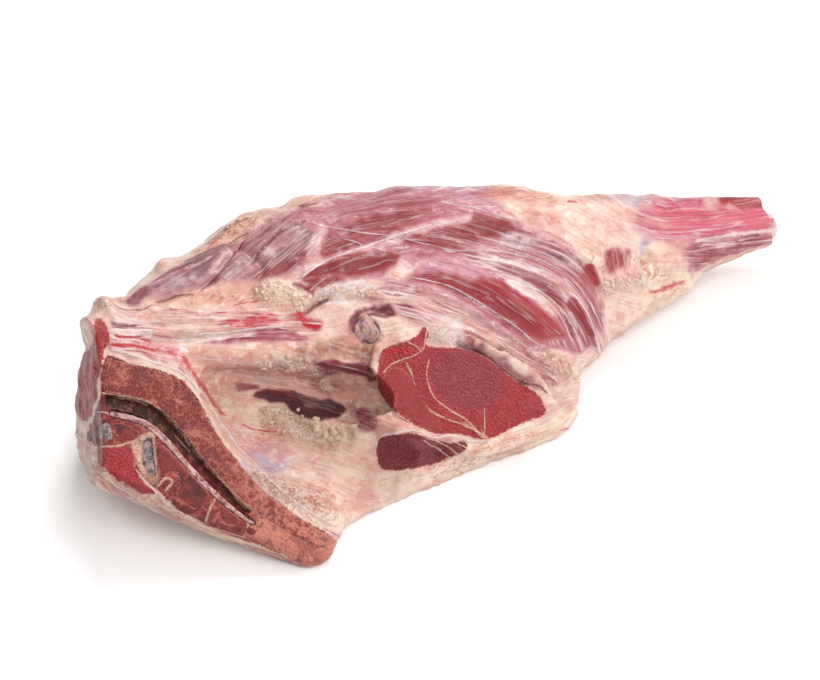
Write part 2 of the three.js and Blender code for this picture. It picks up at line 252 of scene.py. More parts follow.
# ------------------------------------------------------------------ what is drawn on the flesh
# Patches painted in turn: (fat, flesh, how thick the fat lies over the flesh from 0 to 1, softness of
# the edge in pixels, grain that they follow, streaks from 0 to 1, outline).
LAYERS = (
    # the flank
    ("peach", "rosy", 0.9, 6, "flank", 0.2, (
        (100, 306), (118, 286), (135, 266), (150, 256), (170, 244), (190, 230), (207, 220), (232, 204),
        (250, 200), (270, 193), (300, 184), (330, 183), (345, 184), (340, 198), (318, 206), (300, 208),
        (285, 214), (262, 222), (240, 236), (222, 244), (200, 250), (184, 259), (172, 266), (158, 277),
        (145, 287), (130, 297), (118, 307))),
    ("orange", "crimson", 0.8, 5, "flank", 0.8, (
        (196, 243), (212, 230), (232, 214), (252, 205), (262, 210), (250, 222), (232, 234), (212, 246))),
    ("grey", "veiled", 0.36, 6, "film", 0.35, (
        (236, 243), (250, 230), (270, 216), (300, 208), (330, 204), (352, 208), (332, 222), (320, 232),
        (318, 245), (312, 258), (300, 268), (280, 277), (258, 283), (232, 284), (210, 285), (194, 291),
        (184, 293), (205, 276), (222, 258))),
    ("grey", "dusk", 0.26, 2.5, "flank", 0.25, (
        (119, 307), (133, 297), (147, 288), (160, 279), (174, 268), (186, 259), (200, 251), (216, 247),
        (230, 242), (237, 243), (226, 254), (216, 263), (207, 274), (196, 282), (184, 289), (165, 293),
        (150, 298), (134, 304))),
    (None, "dusk", 0.1, 3, "flank", 0.25, (
        (186, 262), (200, 253), (216, 249), (228, 245), (222, 254), (212, 264), (204, 273), (192, 281),
        (180, 283), (176, 273))),
    ("lilac", "veiled", 0.5, 4, "flank", 0.3, (
        (148, 297), (163, 284), (177, 278), (190, 282), (178, 291), (160, 298))),
    ("grey", "veiled", 0.24, 3, "film", 0.5, (
        (264, 272), (272, 260), (284, 247), (298, 236), (312, 230), (315, 240), (308, 250), (296, 258),
        (282, 265))),
    (None, "brick", 0.1, 2.5, "film", 0.5, (
        (256, 279), (262, 271), (274, 266), (288, 262), (300, 256), (308, 249), (304, 259), (294, 267),
        (282, 274), (270, 278))),
    ("orange", "crimson", 0.8, 5, "flank", 0.6, ((302, 190), (320, 190), (345, 190), (338, 199), (316, 204))),
    # the thigh
    ("mauve", "rosy", 0.22, 5, "gracilis", 0.8, (
        (304, 210), (326, 202), (350, 194), (385, 186), (440, 182), (480, 184), (505, 196), (530, 214),
        (562, 234), (590, 258), (606, 296), (604, 346), (576, 352), (556, 348), (530, 350), (500, 334),
        (470, 314), (440, 298), (410, 288), (380, 284), (350, 290), (320, 293), (303, 286), (300, 270),
        (312, 252), (316, 232), (300, 220))),
    ("lilac", "rosy", 0.3, 3, "quad", 0.5, (
        (312, 226), (326, 212), (346, 202), (366, 196), (392, 192), (410, 194), (400, 204), (370, 210),
        (340, 222), (322, 234))),
    (None, "rosy", 0.1, 4, "quad", 0.4, (
        (328, 226), (345, 214), (365, 206), (390, 202), (420, 200), (442, 204), (450, 210), (446, 218),
        (430, 225), (412, 230), (395, 237), (372, 240), (345, 239), (326, 234))),
    (None, "brick", 0.02, 5, "quad", 0.3, (
        (352, 228), (380, 218), (405, 212), (420, 214), (404, 226), (380, 236), (358, 236))),
    ("lilac", "mauve", 0.32, 4, "quad", 0.9, (
        (398, 196), (415, 187), (440, 182), (470, 183), (490, 195), (502, 210), (484, 213), (462, 202),
        (440, 198))),
    (None, "brick", 0.12, 3, "quad", 0.5, (
        (319, 238), (345, 238), (362, 242), (352, 249), (335, 255), (321, 259))),
    (None, "rosy", 0.3, 3, "quad", 0.7, (
        (362, 246), (385, 243), (410, 246), (440, 251), (430, 257), (405, 256), (380, 250))),
    (None, "brick", 0.1, 3, "gracilis", 0.5, (
        (393, 240), (405, 232), (420, 227), (440, 226), (462, 228), (481, 238), (474, 245), (458, 250),
        (440, 248), (415, 244))),
    (None, "brick", 0.05, 3, "gracilis", 0.35, (
        (460, 222), (480, 215), (498, 217), (514, 222), (511, 230), (498, 233), (488, 238), (476, 233))),
    ("strand", "rosy", 0.62, 4, "seam", 0.8, (
        (298, 277), (308, 266), (326, 257), (346, 250), (366, 243), (388, 236), (412, 229), (440, 221),
        (466, 216), (468, 221), (444, 227), (418, 235), (396, 242), (376, 248), (356, 254), (338, 260),
        (324, 266), (312, 274), (302, 280))),
    ("membrane", "rosy", 0.62, 3, "film", 0.7, (
        (311, 262), (306, 250), (312, 238), (320, 226), (325, 230), (319, 246), (322, 260))),
    (None, "brick", 0.02, 2, "quad", 0.3, (
        (303, 278), (315, 269), (332, 262), (352, 254), (378, 251), (400, 258), (405, 262), (390, 268),
        (372, 274), (352, 277), (330, 274))),
    ("membrane", "rosy", 0.72, 4, "seam", 0.6, (
        (384, 273), (400, 262), (420, 258), (430, 262), (418, 270), (404, 280), (390, 283), (378, 282))),
    (None, "mauve", 0.22, 4, "adductor", 0.4, (
        (418, 274), (426, 263), (440, 256), (456, 257), (470, 263), (488, 273), (496, 286), (480, 292),
        (455, 284), (432, 280))),
    (None, "crimson", 0.0, 3, "adductor", 0.3, (
        (411, 277), (430, 274), (450, 272), (470, 272), (490, 279), (508, 289), (528, 300), (545, 314),
        (560, 328), (567, 338), (556, 335), (548, 339), (540, 342), (530, 335), (515, 323), (495, 309),
        (475, 297), (455, 288), (430, 281))),
    (None, "mauve", 0.3, 6, "adductor", 0.3, (
        (436, 266), (452, 262), (468, 268), (478, 278), (462, 280), (444, 274))),
    ("white", "rosy", 0.66, 3, "gracilis", 1.0, (
        (505, 283), (520, 280), (535, 288), (548, 300), (558, 313), (549, 317), (535, 303), (520, 295))),
    ("strand", "rosy", 0.52, 4, "gracilis", 1.0, (
        (470, 252), (500, 258), (530, 264), (556, 276), (577, 292), (590, 312), (600, 340), (600, 352),
        (588, 348), (578, 324), (564, 303), (546, 288), (520, 278), (490, 270), (466, 262))),
    (None, "crimson", 0.1, 2, "gracilis", 0.4, (
        (569, 298), (578, 307), (586, 321), (591, 336), (585, 334), (576, 319), (568, 307))),
    (None, "crimson", 0.15, 2, "gracilis", 0.4, ((548, 288), (557, 294), (569, 311), (562, 308), (551, 298))),
    ("strand", "crimson", 0.46, 3, "adductor", 1.0, (
        (398, 285), (425, 284), (445, 291), (465, 302), (485, 316), (505, 329), (522, 343), (534, 354),
        (515, 348), (495, 335), (470, 320), (448, 306), (425, 296), (400, 293))),
    ("lilac", "dusk", 0.5, 5, "gracilis", 0.8, (
        (500, 240), (520, 234), (546, 242), (562, 250), (578, 260), (592, 278), (598, 292), (586, 284),
        (566, 271), (542, 259), (515, 251))),
    # the knee
    ("knee", "rosy", 0.98, 9, "shank", 0.4, (
        (490, 188), (520, 186), (560, 187), (612, 194), (645, 202), (652, 240), (654, 285), (640, 312),
        (612, 340), (606, 346), (606, 315), (600, 290), (580, 258), (555, 240), (520, 222), (502, 208))),
    ("orange", "crimson", 0.7, 6, "quad", 0.8, (
        (484, 184), (520, 188), (556, 192), (556, 201), (530, 204), (505, 202), (490, 197))),
    ("orange", "crimson", 0.85, 7, "shank", 0.5, ((520, 206), (546, 212), (560, 222), (548, 226), (526, 218))),
    (None, "crimson", 0.05, 2.5, "gracilis", 0.3, ((582, 273), (587, 263), (595, 266), (600, 283), (592, 286))),
    ("cream", "crimson", 0.5, 3, "knee", 0.3, (
        (604, 250), (630, 247), (633, 258), (624, 268), (610, 272), (604, 266))),
    (None, "crimson", 0.1, 2, "knee", 0.3, ((606, 252), (611, 251), (612, 262), (610, 270), (606, 264))),
    (None, "crimson", 0.15, 2, "knee", 0.3, ((614, 251), (619, 250), (618, 260), (614, 268), (613, 260))),
    (None, "crimson", 0.15, 2, "knee", 0.3, ((623, 250), (629, 250), (627, 257), (619, 267), (620, 258))),
    ("membrane", "magenta", 0.86, 11, "shank", 0.6, (
        (596, 196), (640, 200), (652, 226), (640, 246), (616, 240), (600, 216))),
    # painted shade: a lilac-grey band down the groove at the side of the knee
    ("lilac", "rosy", 0.9, 5, "knee", 0.4, (
        (638, 234), (652, 236), (657, 262), (653, 286), (643, 284), (640, 262))),
    # the shank
    ("lilac", "rosy", 0.75, 6, "shank", 0.4, (
        (600, 188), (650, 190), (700, 190), (724, 196), (704, 207), (660, 208), (625, 206))),
    ("membrane", "magenta", 0.24, 12, "shank", 0.6, (
        (638, 210), (660, 205), (700, 206), (740, 206), (779, 203), (780, 230), (740, 236), (700, 241),
        (672, 245), (650, 238), (640, 226))),
    (None, "magenta", 0.05, 9, "shank", 0.5, (
        (664, 214), (690, 210), (730, 212), (776, 208), (777, 224), (740, 230), (700, 232), (674, 232))),
    (None, "crimson", 0.1, 2, "shank", 0.5, (
        (716, 199), (745, 196), (769, 197), (771, 206), (745, 209), (722, 208))),
    ("mauve", "brick", 0.3, 3, "shank", 0.7, (
        (684, 247), (715, 240), (745, 238), (776, 234), (777, 246), (745, 253), (715, 264), (692, 275),
        (678, 266))),
    (None, "brick", 0.12, 3, "shank", 0.5, (
        (700, 251), (725, 246), (762, 242), (764, 246), (730, 252), (704, 260))),
    ("cream", "rosy", 0.95, 8, "shank", 0.4, (
        (650, 246), (676, 250), (684, 262), (698, 276), (690, 294), (660, 314), (640, 320), (640, 280))),
    # the loin side
    ("yellow", "rosy", 0.96, 5, "film", 0.3, (
        (150, 300), (170, 296), (200, 290), (232, 284), (258, 283), (272, 288), (266, 300), (240, 304),
        (215, 306), (190, 308), (165, 309), (150, 306))),
    ("membrane", "rosy", 0.84, 5, "psoas", 0.9, (
        (112, 314), (150, 308), (200, 308), (250, 305), (300, 305), (320, 315), (322, 340), (308, 346),
        (260, 347), (220, 348), (190, 353), (170, 346), (140, 341), (115, 339))),
    ("white", "maroon_and_shade", 0.6, 3, "psoas", 1.0, ((112, 322), (136, 320), (152, 326), (150, 338), (116, 340))),
    ("strand", "maroon_and_shade", 0.95, 2, "psoas", 0.4, (
        (115, 330), (128, 328), (142, 330), (152, 336), (146, 341), (128, 340), (116, 338))),
    ("peach", "blood", 0.18, 4, "psoas", 0.9, (
        (220, 323), (234, 317), (250, 320), (262, 315), (274, 318), (266, 326), (248, 331), (230, 331))),
    ("peach", "blood", 0.2, 4, "psoas", 0.8, (
        (292, 312), (301, 308), (308, 320), (320, 324), (318, 332), (304, 331), (294, 322))),
    (None, "violet", 0.1, 3, "psoas", 0.8, (
        (196, 343), (225, 338), (250, 333), (280, 329), (301, 333), (309, 343), (290, 344), (260, 343),
        (225, 346))),
    ("cream", "rosy", 0.95, 4, "psoas", 0.3, (
        (262, 284), (285, 281), (300, 288), (308, 300), (300, 310), (282, 310), (266, 302))),
    ("peach", "crimson", 0.72, 4, "chump", 0.7, (
        (66, 366), (70, 310), (98, 290), (116, 298), (121, 311), (109, 322), (101, 331), (96, 343), (84, 354))),
    # round the sawn spine
    ("yellow", "crimson", 0.72, 5, "tail", 0.8, (
        (70, 420), (84, 412), (94, 400), (92, 440), (112, 470), (150, 496), (200, 520), (250, 541),
        (320, 560), (342, 540), (345, 562), (318, 576), (230, 552), (110, 500), (66, 460))),
    ("cream", "crimson", 0.64, 4, "rim", 1.0, (
        (112, 340), (140, 350), (165, 356), (184, 364), (198, 384), (212, 408), (226, 432), (246, 456),
        (270, 486), (300, 510), (344, 534), (342, 548), (310, 530), (270, 504), (236, 464), (214, 432),
        (194, 394), (178, 374), (150, 364), (112, 354))),
    ("peach", "crimson", 0.35, 4, "rim", 0.9, (
        (108, 340), (150, 345), (180, 352), (194, 366), (206, 388), (222, 410), (232, 424), (214, 414),
        (198, 388), (182, 366), (160, 357), (112, 351))),
    ("white", "blood", 0.42, 3, "rim", 1.0, (
        (104, 342), (112, 338), (130, 341), (150, 345), (172, 348), (186, 354), (196, 366), (206, 386),
        (214, 400), (224, 414), (214, 410), (202, 392), (192, 376), (180, 366), (160, 358), (136, 352),
        (112, 349))),
    ("cream", "crimson", 0.6, 3, "rim", 1.0, (
        (112, 350), (136, 352), (160, 357), (180, 366), (192, 378), (200, 392), (196, 392), (186, 378),
        (172, 370), (150, 364), (126, 358))),
    # the pelvic hollow
    ("beige", "rosy", 0.95, 7, "hollow", 0.25, (
        (190, 350), (250, 344), (310, 342), (345, 330), (360, 332), (376, 345), (378, 380), (380, 398),
        (398, 414), (416, 428), (382, 434), (374, 444), (380, 472), (345, 508), (325, 528), (300, 516),
        (276, 498), (250, 470), (232, 445), (214, 418), (196, 384))),
    ("grey", "rosy", 0.9, 5, "hollow", 0.4, (
        (204, 364), (230, 359), (262, 357), (296, 360), (330, 372), (300, 380), (262, 378), (225, 378))),
    # painted shade: the lining darkened deep in the right side of the hollow
    ("hollow_shade", "dusk", 0.85, 7, "hollow", 0.3, (
        (296, 378), (340, 374), (376, 382), (384, 402), (402, 420), (384, 430), (350, 436), (330, 426),
        (346, 412), (340, 400), (310, 394))),
    ("hollow_shade", "dusk", 0.8, 6, "hollow", 0.25, (
        (300, 350), (334, 340), (352, 330), (368, 338), (378, 350), (374, 366), (350, 362), (330, 358),
        (308, 358))),
    ("crumb", "rosy", 0.95, 6, "hollow", 0.2, (
        (262, 408), (285, 404), (300, 416), (330, 418), (346, 430), (332, 450), (300, 446), (278, 434))),
    ("membrane", "rosy", 0.9, 9, "hollow", 0.3, (
        (214, 418), (240, 412), (262, 424), (290, 440), (310, 452), (335, 462), (352, 480), (345, 508),
        (325, 528), (300, 516), (276, 498), (250, 470), (232, 445))),
    ("lilac", "rosy", 1.0, 4, "hollow", 0.1, (
        (242, 456), (249, 447), (261, 443), (276, 446), (288, 456), (291, 466), (280, 474), (264, 474), (248, 467))),
    ("peach", "rosy", 0.95, 9, "hollow", 0.5, (
        (336, 460), (352, 444), (376, 434), (378, 470), (372, 482), (352, 496), (338, 480))),
    # painted shade: the deep hole of the hollow
    (None, "wine_and_shade", 0.0, 2, "hollow", 0.1, (
        (252, 396), (262, 390), (275, 389), (292, 391), (308, 396), (322, 399), (336, 402), (344, 404),
        (347, 412), (338, 419), (322, 420), (305, 418), (292, 412), (284, 405), (272, 403))),
    # painted shade: patches of deep red flesh in the clefts and deep corners of the hollow
    (None, "maroon_and_shade", 0.1, 3, "hollow", 0.5, (
        (314, 364), (325, 361), (334, 359), (350, 361), (363, 363), (373, 371), (376, 381), (362, 380),
        (350, 377), (338, 373), (325, 371))),
    (None, "maroon_and_shade", 0.2, 3, "hollow", 0.4, (
        (357, 411), (365, 410), (375, 419), (377, 431), (366, 433), (357, 426))),
    (None, "maroon_and_shade", 0.25, 2.5, "hollow", 0.4, ((235, 382), (247, 383), (258, 388), (240, 391))),
    # painted shade: a deep red ring round the knob of gristle
    (None, "maroon_and_shade", 0.05, 2.5, "quad", 0.3, (
        (353, 332), (355, 319), (364, 312), (376, 308), (387, 310), (388, 318), (374, 318), (364, 323),
        (360, 331))),
    # the torn film over the aitch bone
    ("membrane", "brick", 0.64, 5, "torn", 1.0, (
        (320, 292), (340, 287), (354, 280), (370, 274), (385, 279), (400, 288), (420, 293), (440, 297),
        (462, 308), (482, 321), (502, 335), (522, 350), (546, 364), (560, 374), (556, 388),
        (548, 388), (540, 378), (520, 368), (500, 352), (482, 341), (462, 345), (440, 347), (428, 331),
        (400, 320), (385, 310), (365, 305), (345, 304), (330, 299))),
    ("cream", "brick", 0.12, 3, "film", 0.7, (
        (294, 284), (308, 279), (330, 277), (344, 280), (340, 288), (324, 295), (306, 295))),
    ("white", "rosy", 0.95, 3, "torn", 0.4, (
        (316, 295), (328, 286), (348, 280), (364, 282), (374, 291), (362, 300), (342, 305), (324, 303))),
    ("strand", "brick", 0.36, 3, "torn", 1.0, (
        (378, 279), (396, 280), (414, 287), (428, 297), (410, 299), (392, 293))),
    # painted shade: the ring round the knob of gristle, over the torn film
    (None, "maroon_and_shade", 0.12, 3, "quad", 0.3, (
        (350, 324), (354, 312), (364, 305), (380, 303), (393, 307), (395, 316), (385, 317), (372, 313), (360, 318))),
    ("white", "rosy", 0.97, 4, "torn", 0.4, (
        (424, 330), (430, 321), (446, 317), (462, 325), (466, 340), (452, 347), (436, 345))),
    ("cream", "rosy", 0.95, 6, "hem", 0.6, (
        (484, 442), (510, 430), (545, 416), (580, 408), (590, 380), (600, 392), (584, 436), (540, 448),
        (500, 460), (470, 470), (440, 478), (380, 494), (380, 478), (430, 470), (466, 450))),
    # painted shade: a deep red strip down the recess above the aitch bone
    ("peach", "maroon_and_shade", 0.35, 3, "torn", 0.7, (
        (458, 342), (480, 346), (496, 354), (512, 366), (530, 380), (546, 390), (532, 390), (514, 382),
        (498, 370), (480, 358), (460, 350))),
    ("peach", "crimson", 0.5, 4, "torn", 0.7, (
        (496, 334), (512, 336), (532, 352), (540, 362), (520, 358), (504, 346))),
)

# Cut faces with a sharp edge: (flesh, 1 for bone or 0 for flesh, outline).
CUTS = (
    ("cut_dull", 0, ((66, 364), (84, 353), (96, 344), (101, 330), (107, 326), (110, 340), (104, 352), (100, 370),
                     (97, 385), (98, 396), (94, 408), (84, 422), (66, 398))),
    ("marrow", 1, ((107, 356), (117, 358), (129, 363), (144, 367), (159, 370), (170, 374), (182, 380),
                   (191, 389), (199, 401), (206, 414), (214, 428), (223, 443), (235, 458), (247, 474),
                   (261, 490), (279, 505), (298, 517), (319, 529), (337, 542), (336, 556), (320, 566),
                   (300, 562), (270, 549), (246, 541), (226, 534), (206, 525), (186, 514), (170, 502),
                   (158, 490), (146, 480), (134, 466), (128, 450), (112, 447), (96, 446), (88, 436),
                   (90, 424), (96, 414), (101, 394), (101, 372))),
    ("marrow_pale", 1, ((250, 512), (262, 505), (280, 509), (299, 518), (320, 530), (337, 543), (336, 556),
                        (320, 566), (300, 562), (276, 551), (256, 540), (246, 528))),
    # painted shade: the recess of the spine's canal
    ("canal", 1, ((104, 406), (107, 397), (120, 394), (134, 396), (147, 399), (161, 405), (174, 416),
                  (185, 429), (196, 445), (206, 460), (221, 476), (240, 495), (250, 508), (240, 509),
                  (222, 494), (210, 482), (199, 469), (188, 457), (178, 446), (168, 437), (156, 430),
                  (145, 422), (132, 415), (118, 411))),
    ("crumb", 1, ((132, 442), (144, 434), (154, 436), (159, 478), (152, 485), (142, 474), (134, 456))),
    ("gristle", 1, ((144, 441), (152, 438), (157, 458), (158, 475), (151, 473), (145, 457))),
    ("cut", 0, ((98, 448), (112, 445), (126, 447), (134, 456), (135, 466), (142, 480), (154, 493),
                (144, 493), (130, 485), (116, 477), (103, 466))),
    ("cut", 0, ((378, 368), (382, 352), (392, 345), (408, 341), (418, 335), (424, 327), (428, 335),
                (426, 345), (440, 348), (462, 348), (478, 353), (495, 363), (510, 376), (525, 386),
                (540, 396), (545, 405), (544, 414), (530, 420), (512, 428), (498, 435), (484, 440),
                (470, 436), (455, 434), (440, 434), (425, 430), (410, 422), (396, 411), (385, 400),
                (378, 388))),
    ("cut_deep", 0, ((432, 368), (440, 356), (456, 349), (478, 354), (496, 366), (505, 380), (501, 395),
                     (490, 405), (470, 410), (451, 406), (438, 395), (431, 381))),
    # deep red flesh under the aitch bone, darkened further as painted shade beneath its overhang
    ("maroon_and_shade", 0, ((378, 441), (385, 435), (400, 434), (418, 435), (432, 440), (448, 444), (462, 442),
                   (466, 448), (452, 456), (436, 463), (420, 467), (400, 470), (384, 470), (377, 460))),
)

# Lines that the grain of the flesh follows.
GRAINS = {
    "flank": ((100, 318), (150, 288), (200, 262), (250, 235), (300, 205)),
    "film": ((215, 300), (255, 268), (290, 238), (330, 205)),
    "seam": ((296, 280), (330, 257), (384, 240), (430, 262)),
    "chump": ((104, 320), (96, 360), (92, 420)),
    "tail": ((70, 430), (130, 478), (200, 520), (330, 566)),
    "rim": ((110, 348), (180, 364), (216, 424), (260, 482), (340, 534)),
    "psoas": ((105, 330), (180, 334), (250, 334), (330, 334)),
    "hollow": ((190, 366), (260, 372), (330, 388), (400, 412)),
    "quad": ((300, 262), (345, 240), (400, 230), (450, 222), (520, 214)),
    "gracilis": ((395, 240), (450, 246), (510, 262), (555, 280), (582, 310), (600, 350)),
    "adductor": ((395, 272), (440, 272), (490, 292), (530, 320), (575, 350)),
    "torn": ((330, 294), (400, 302), (470, 328), (530, 362), (590, 400)),
    "hem": ((376, 484), (470, 456), (560, 424), (596, 370)),
    "knee": ((612, 240), (616, 262), (618, 290)),
    "shank": ((600, 200), (650, 225), (710, 226), (790, 216)),
}

# Drawn lines, each (half width in pixels, line): strands of pale silver skin and fat.
PALE = (
    (1.3, ((303, 276), (318, 266), (336, 257), (356, 249), (380, 241), (404, 234), (430, 226))),
    (0.55, ((312, 223), (330, 228), (345, 231), (364, 234), (390, 236))),
    (0.6, ((345, 240), (366, 245), (384, 252))),
    (0.5, ((404, 240), (430, 246), (456, 251), (490, 252), (530, 258), (560, 270))),
    (0.5, ((440, 204), (470, 208), (500, 216), (520, 222))),
    (0.5, ((411, 277), (430, 281), (452, 287), (472, 297), (494, 311), (514, 326), (530, 340), (548, 352))),
    (0.5, ((442, 290), (470, 300), (498, 314), (520, 330), (532, 342))),
    (0.9, ((470, 265), (500, 272), (524, 281), (545, 294), (560, 308), (572, 326), (580, 346))),
    (0.7, ((500, 260), (535, 268), (563, 282), (582, 304), (592, 334))),
    (1.1, ((376, 446), (382, 434), (400, 432), (420, 432), (434, 438), (450, 436), (468, 441), (484, 441))),
    (1.0, ((427, 328), (425, 340), (422, 350), (412, 357), (402, 360), (392, 364), (384, 372))),
    (1.1, ((406, 364), (412, 375), (415, 388), (420, 400), (432, 412), (448, 420), (462, 425), (476, 431))),
    (1.0, ((428, 362), (426, 373), (428, 386), (434, 398), (446, 408), (459, 416), (470, 424), (482, 438))),
    (0.7, ((484, 410), (484, 424), (483, 436))),
    (1.6, ((474, 430), (480, 435), (486, 438))),
    (1.0, ((408, 343), (416, 348), (420, 352))),
    (1.3, ((112, 350), (122, 352), (138, 357), (158, 363), (178, 370), (192, 381), (204, 396), (216, 414))),
    (1.0, ((216, 414), (228, 432), (242, 451), (262, 474), (284, 494), (306, 510), (330, 524))),
    (0.8, ((102, 393), (124, 396), (143, 398), (158, 404), (171, 414))),
    (1.0, ((100, 412), (120, 416), (138, 424), (150, 430))),
    (0.9, ((153, 434), (155, 456), (157, 478))),
    (0.8, ((136, 470), (146, 482), (158, 494), (172, 506), (192, 517), (218, 529), (246, 538))),
    (1.4, ((206, 520), (210, 508), (218, 494))),
    (1.0, ((244, 536), (248, 526), (246, 516))),
    (1.6, ((112, 331), (130, 331), (150, 332))),
    (1.2, ((112, 338), (130, 341), (150, 338))),
    (1.0, ((200, 335), (240, 331), (280, 327))),
    (2.0, ((698, 241), (730, 235), (776, 230))),
    (0.8, ((546, 412), (560, 400), (568, 386))),
    (0.8, ((520, 430), (545, 420), (568, 404))),
    (1.5, ((104, 447), (118, 446), (134, 441))),
    (0.8, ((424, 441), (440, 451), (452, 459))),
    (0.8, ((437, 441), (452, 449), (462, 455))),
    (0.7, ((450, 441), (461, 446), (470, 450))),
    (1.6, ((158, 486), (166, 478), (172, 482), (166, 490))),
    (1.3, ((118, 398), (134, 400), (146, 405))),
    (0.9, ((176, 436), (190, 452))),
    (0.8, ((216, 476), (232, 490))),
)

# Thin dark lines and clefts.
# Thin lines: deep red strands, and painted shade along clefts and gaps.
DARK_AND_SHADE = (
    (1.6, ((253, 263), (261, 252), (270, 242), (281, 232), (292, 227), (303, 222))),
    (1.3, ((202, 288), (214, 279), (228, 264), (236, 252), (242, 244))),
    (1.1, ((122, 311), (132, 309), (142, 310), (150, 305))),
    (1.2, ((158, 300), (168, 297), (178, 294), (192, 293))),
    (0.8, ((228, 241), (236, 237), (246, 233))),
    (0.8, ((299, 206), (308, 206), (318, 204))),
    (2.0, ((308, 312), (317, 304), (327, 300))),
    (1.0, ((385, 293), (392, 295), (401, 296))),
    (1.5, ((462, 344), (479, 350), (491, 357), (501, 366), (512, 375), (524, 383))),
    (1.0, ((524, 383), (538, 386), (546, 392))),
    (1.4, ((378, 380), (380, 392), (386, 402), (396, 411))),
    (0.8, ((400, 418), (408, 422))),
    (1.0, ((440, 441), (452, 446), (460, 452))),
    (1.2, ((114, 326), (124, 327), (136, 325))),
    (0.8, ((116, 336), (128, 338), (140, 337))),
    (0.7, ((282, 524), (296, 532), (308, 544))),
    (0.7, ((720, 201), (744, 200))),
    (1.2, ((124, 402), (140, 405), (154, 412))),
    (1.2, ((160, 416), (174, 428), (186, 444))),
    (1.3, ((200, 462), (214, 476), (230, 492))),
)

# Streaks of blood and bright flesh.
BLOOD = (
    (2.4, ((228, 324), (240, 325), (253, 323))),
    (1.7, ((250, 319), (265, 319))),
    (2.0, ((300, 316), (304, 325), (315, 328))),
    (2.2, ((112, 345), (130, 346), (152, 349), (172, 353), (186, 360))),
    (2.3, ((186, 361), (198, 379), (210, 397), (223, 413))),
    (1.2, ((116, 336), (130, 338), (150, 341))),
    (1.6, ((298, 314), (301, 320))),
    (0.8, ((182, 358), (192, 370), (200, 384), (209, 398), (222, 414))),
    (0.9, ((243, 425), (254, 429), (266, 431), (275, 432))),
    (1.4, ((568, 202), (576, 203))),
    (1.6, ((652, 292), (662, 289), (673, 284), (682, 281))),
    (0.8, ((676, 300), (688, 290))),
    (1.0, ((252, 214), (256, 213))),
    (1.0, ((152, 281), (160, 277))),
    (0.9, ((100, 312), (108, 308), (112, 304))),
    (0.8, ((170, 309), (186, 310))),
    (0.7, ((214, 313), (226, 312))),
    (0.9, ((236, 304), (246, 302), (258, 301))),
    (1.6, ((170, 472), (172, 477))),
    (1.4, ((388, 352), (398, 350), (408, 352))),
    (0.7, ((562, 430), (572, 428))),
    (1.0, ((92, 462), (100, 478), (112, 490))),
)

# The drawn lines, by the names that the flesh keeps them under.
LINES = {"pale": PALE, "dark": DARK_AND_SHADE, "blood": BLOOD}

# Swells and clefts in the flesh: (half width in pixels, height in millimetres, line).
RELIEF = (
    (5, -3.4, ((462, 344), (479, 350), (493, 358), (508, 371), (524, 384))),
    (6, 3.2, ((472, 334), (492, 343), (512, 357), (530, 371), (550, 384))),
    (4, -2.6, ((376, 378), (379, 392), (386, 404), (398, 415))),
    (5, 1.8, ((380, 420), (396, 424), (414, 432))),
    (5, -2.5, ((230, 243), (262, 268), (250, 285))),
    (4, -2.0, ((120, 310), (150, 301), (190, 291), (215, 280))),
    (6, 2.0, ((125, 300), (160, 282), (195, 266), (228, 248))),
    (5, -3.0, ((308, 312), (318, 303), (328, 298))),
    (8, 2.2, ((335, 262), (360, 260), (385, 260))),
    (10, 2.4, ((345, 222), (380, 214), (420, 212))),
    (10, 2.6, ((430, 268), (470, 280), (510, 300), (540, 322))),
    (4, -1.6, ((411, 279), (440, 285), (470, 298), (500, 318), (526, 340))),
    (5, 1.8, ((420, 289), (450, 298), (480, 315), (505, 332))),
    (4, -1.5, ((470, 262), (510, 274), (545, 290), (562, 312), (572, 336))),
    (5, 1.8, ((500, 264), (540, 275), (568, 292), (584, 316), (594, 342))),
    (4, -1.6, ((330, 256), (356, 247), (384, 240), (400, 239))),
    (4, -1.8, ((585, 262), (596, 284), (602, 310))),
    (5, -1.6, ((646, 246), (645, 268), (650, 290))),
    (5, -1.4, ((690, 246), (730, 238), (770, 234))),
    (4, -1.6, ((700, 208), (730, 210), (768, 208))),
    (4, 2.2, ((656, 296), (670, 290), (690, 284))),
    (5, -2.5, ((352, 331), (358, 318), (372, 311), (386, 313))),
    (7, -2.5, ((260, 396), (290, 402), (334, 411))),
    (5, -2.0, ((325, 366), (350, 370), (368, 376))),
    (4, 1.6, ((380, 436), (400, 431), (430, 436), (464, 441))),
    (6, -2.4, ((388, 450), (410, 454), (440, 452))),
    (4, 1.5, ((115, 333), (150, 334), (200, 330), (300, 325))),
    (3, -1.4, ((112, 327), (150, 326), (210, 322))),
    (3, -1.2, ((150, 341), (200, 338), (230, 333))),
)

# Where the outline of the flesh moves: (half width in pixels, millimetres to the right, millimetres up, line).
PULLS = (
    (12, 0, 5.5, ((708, 281), (735, 269), (775, 255))),
    (8, 0.5, -2, ((686, 291), (672, 299))),
    (11, 0, 3, ((655, 200), (690, 202), (735, 202), (756, 203))),
    (15, 0, 3, ((392, 191), (440, 189), (480, 189), (520, 190))),
    (17, 1.5, -6.5, ((174, 244), (200, 230), (230, 208), (254, 200), (276, 197))),
    (12, -6, 8, ((112, 312), (100, 319), (90, 333))),
    (10, 1.5, -3.5, ((124, 288), (134, 276), (150, 266))),
)

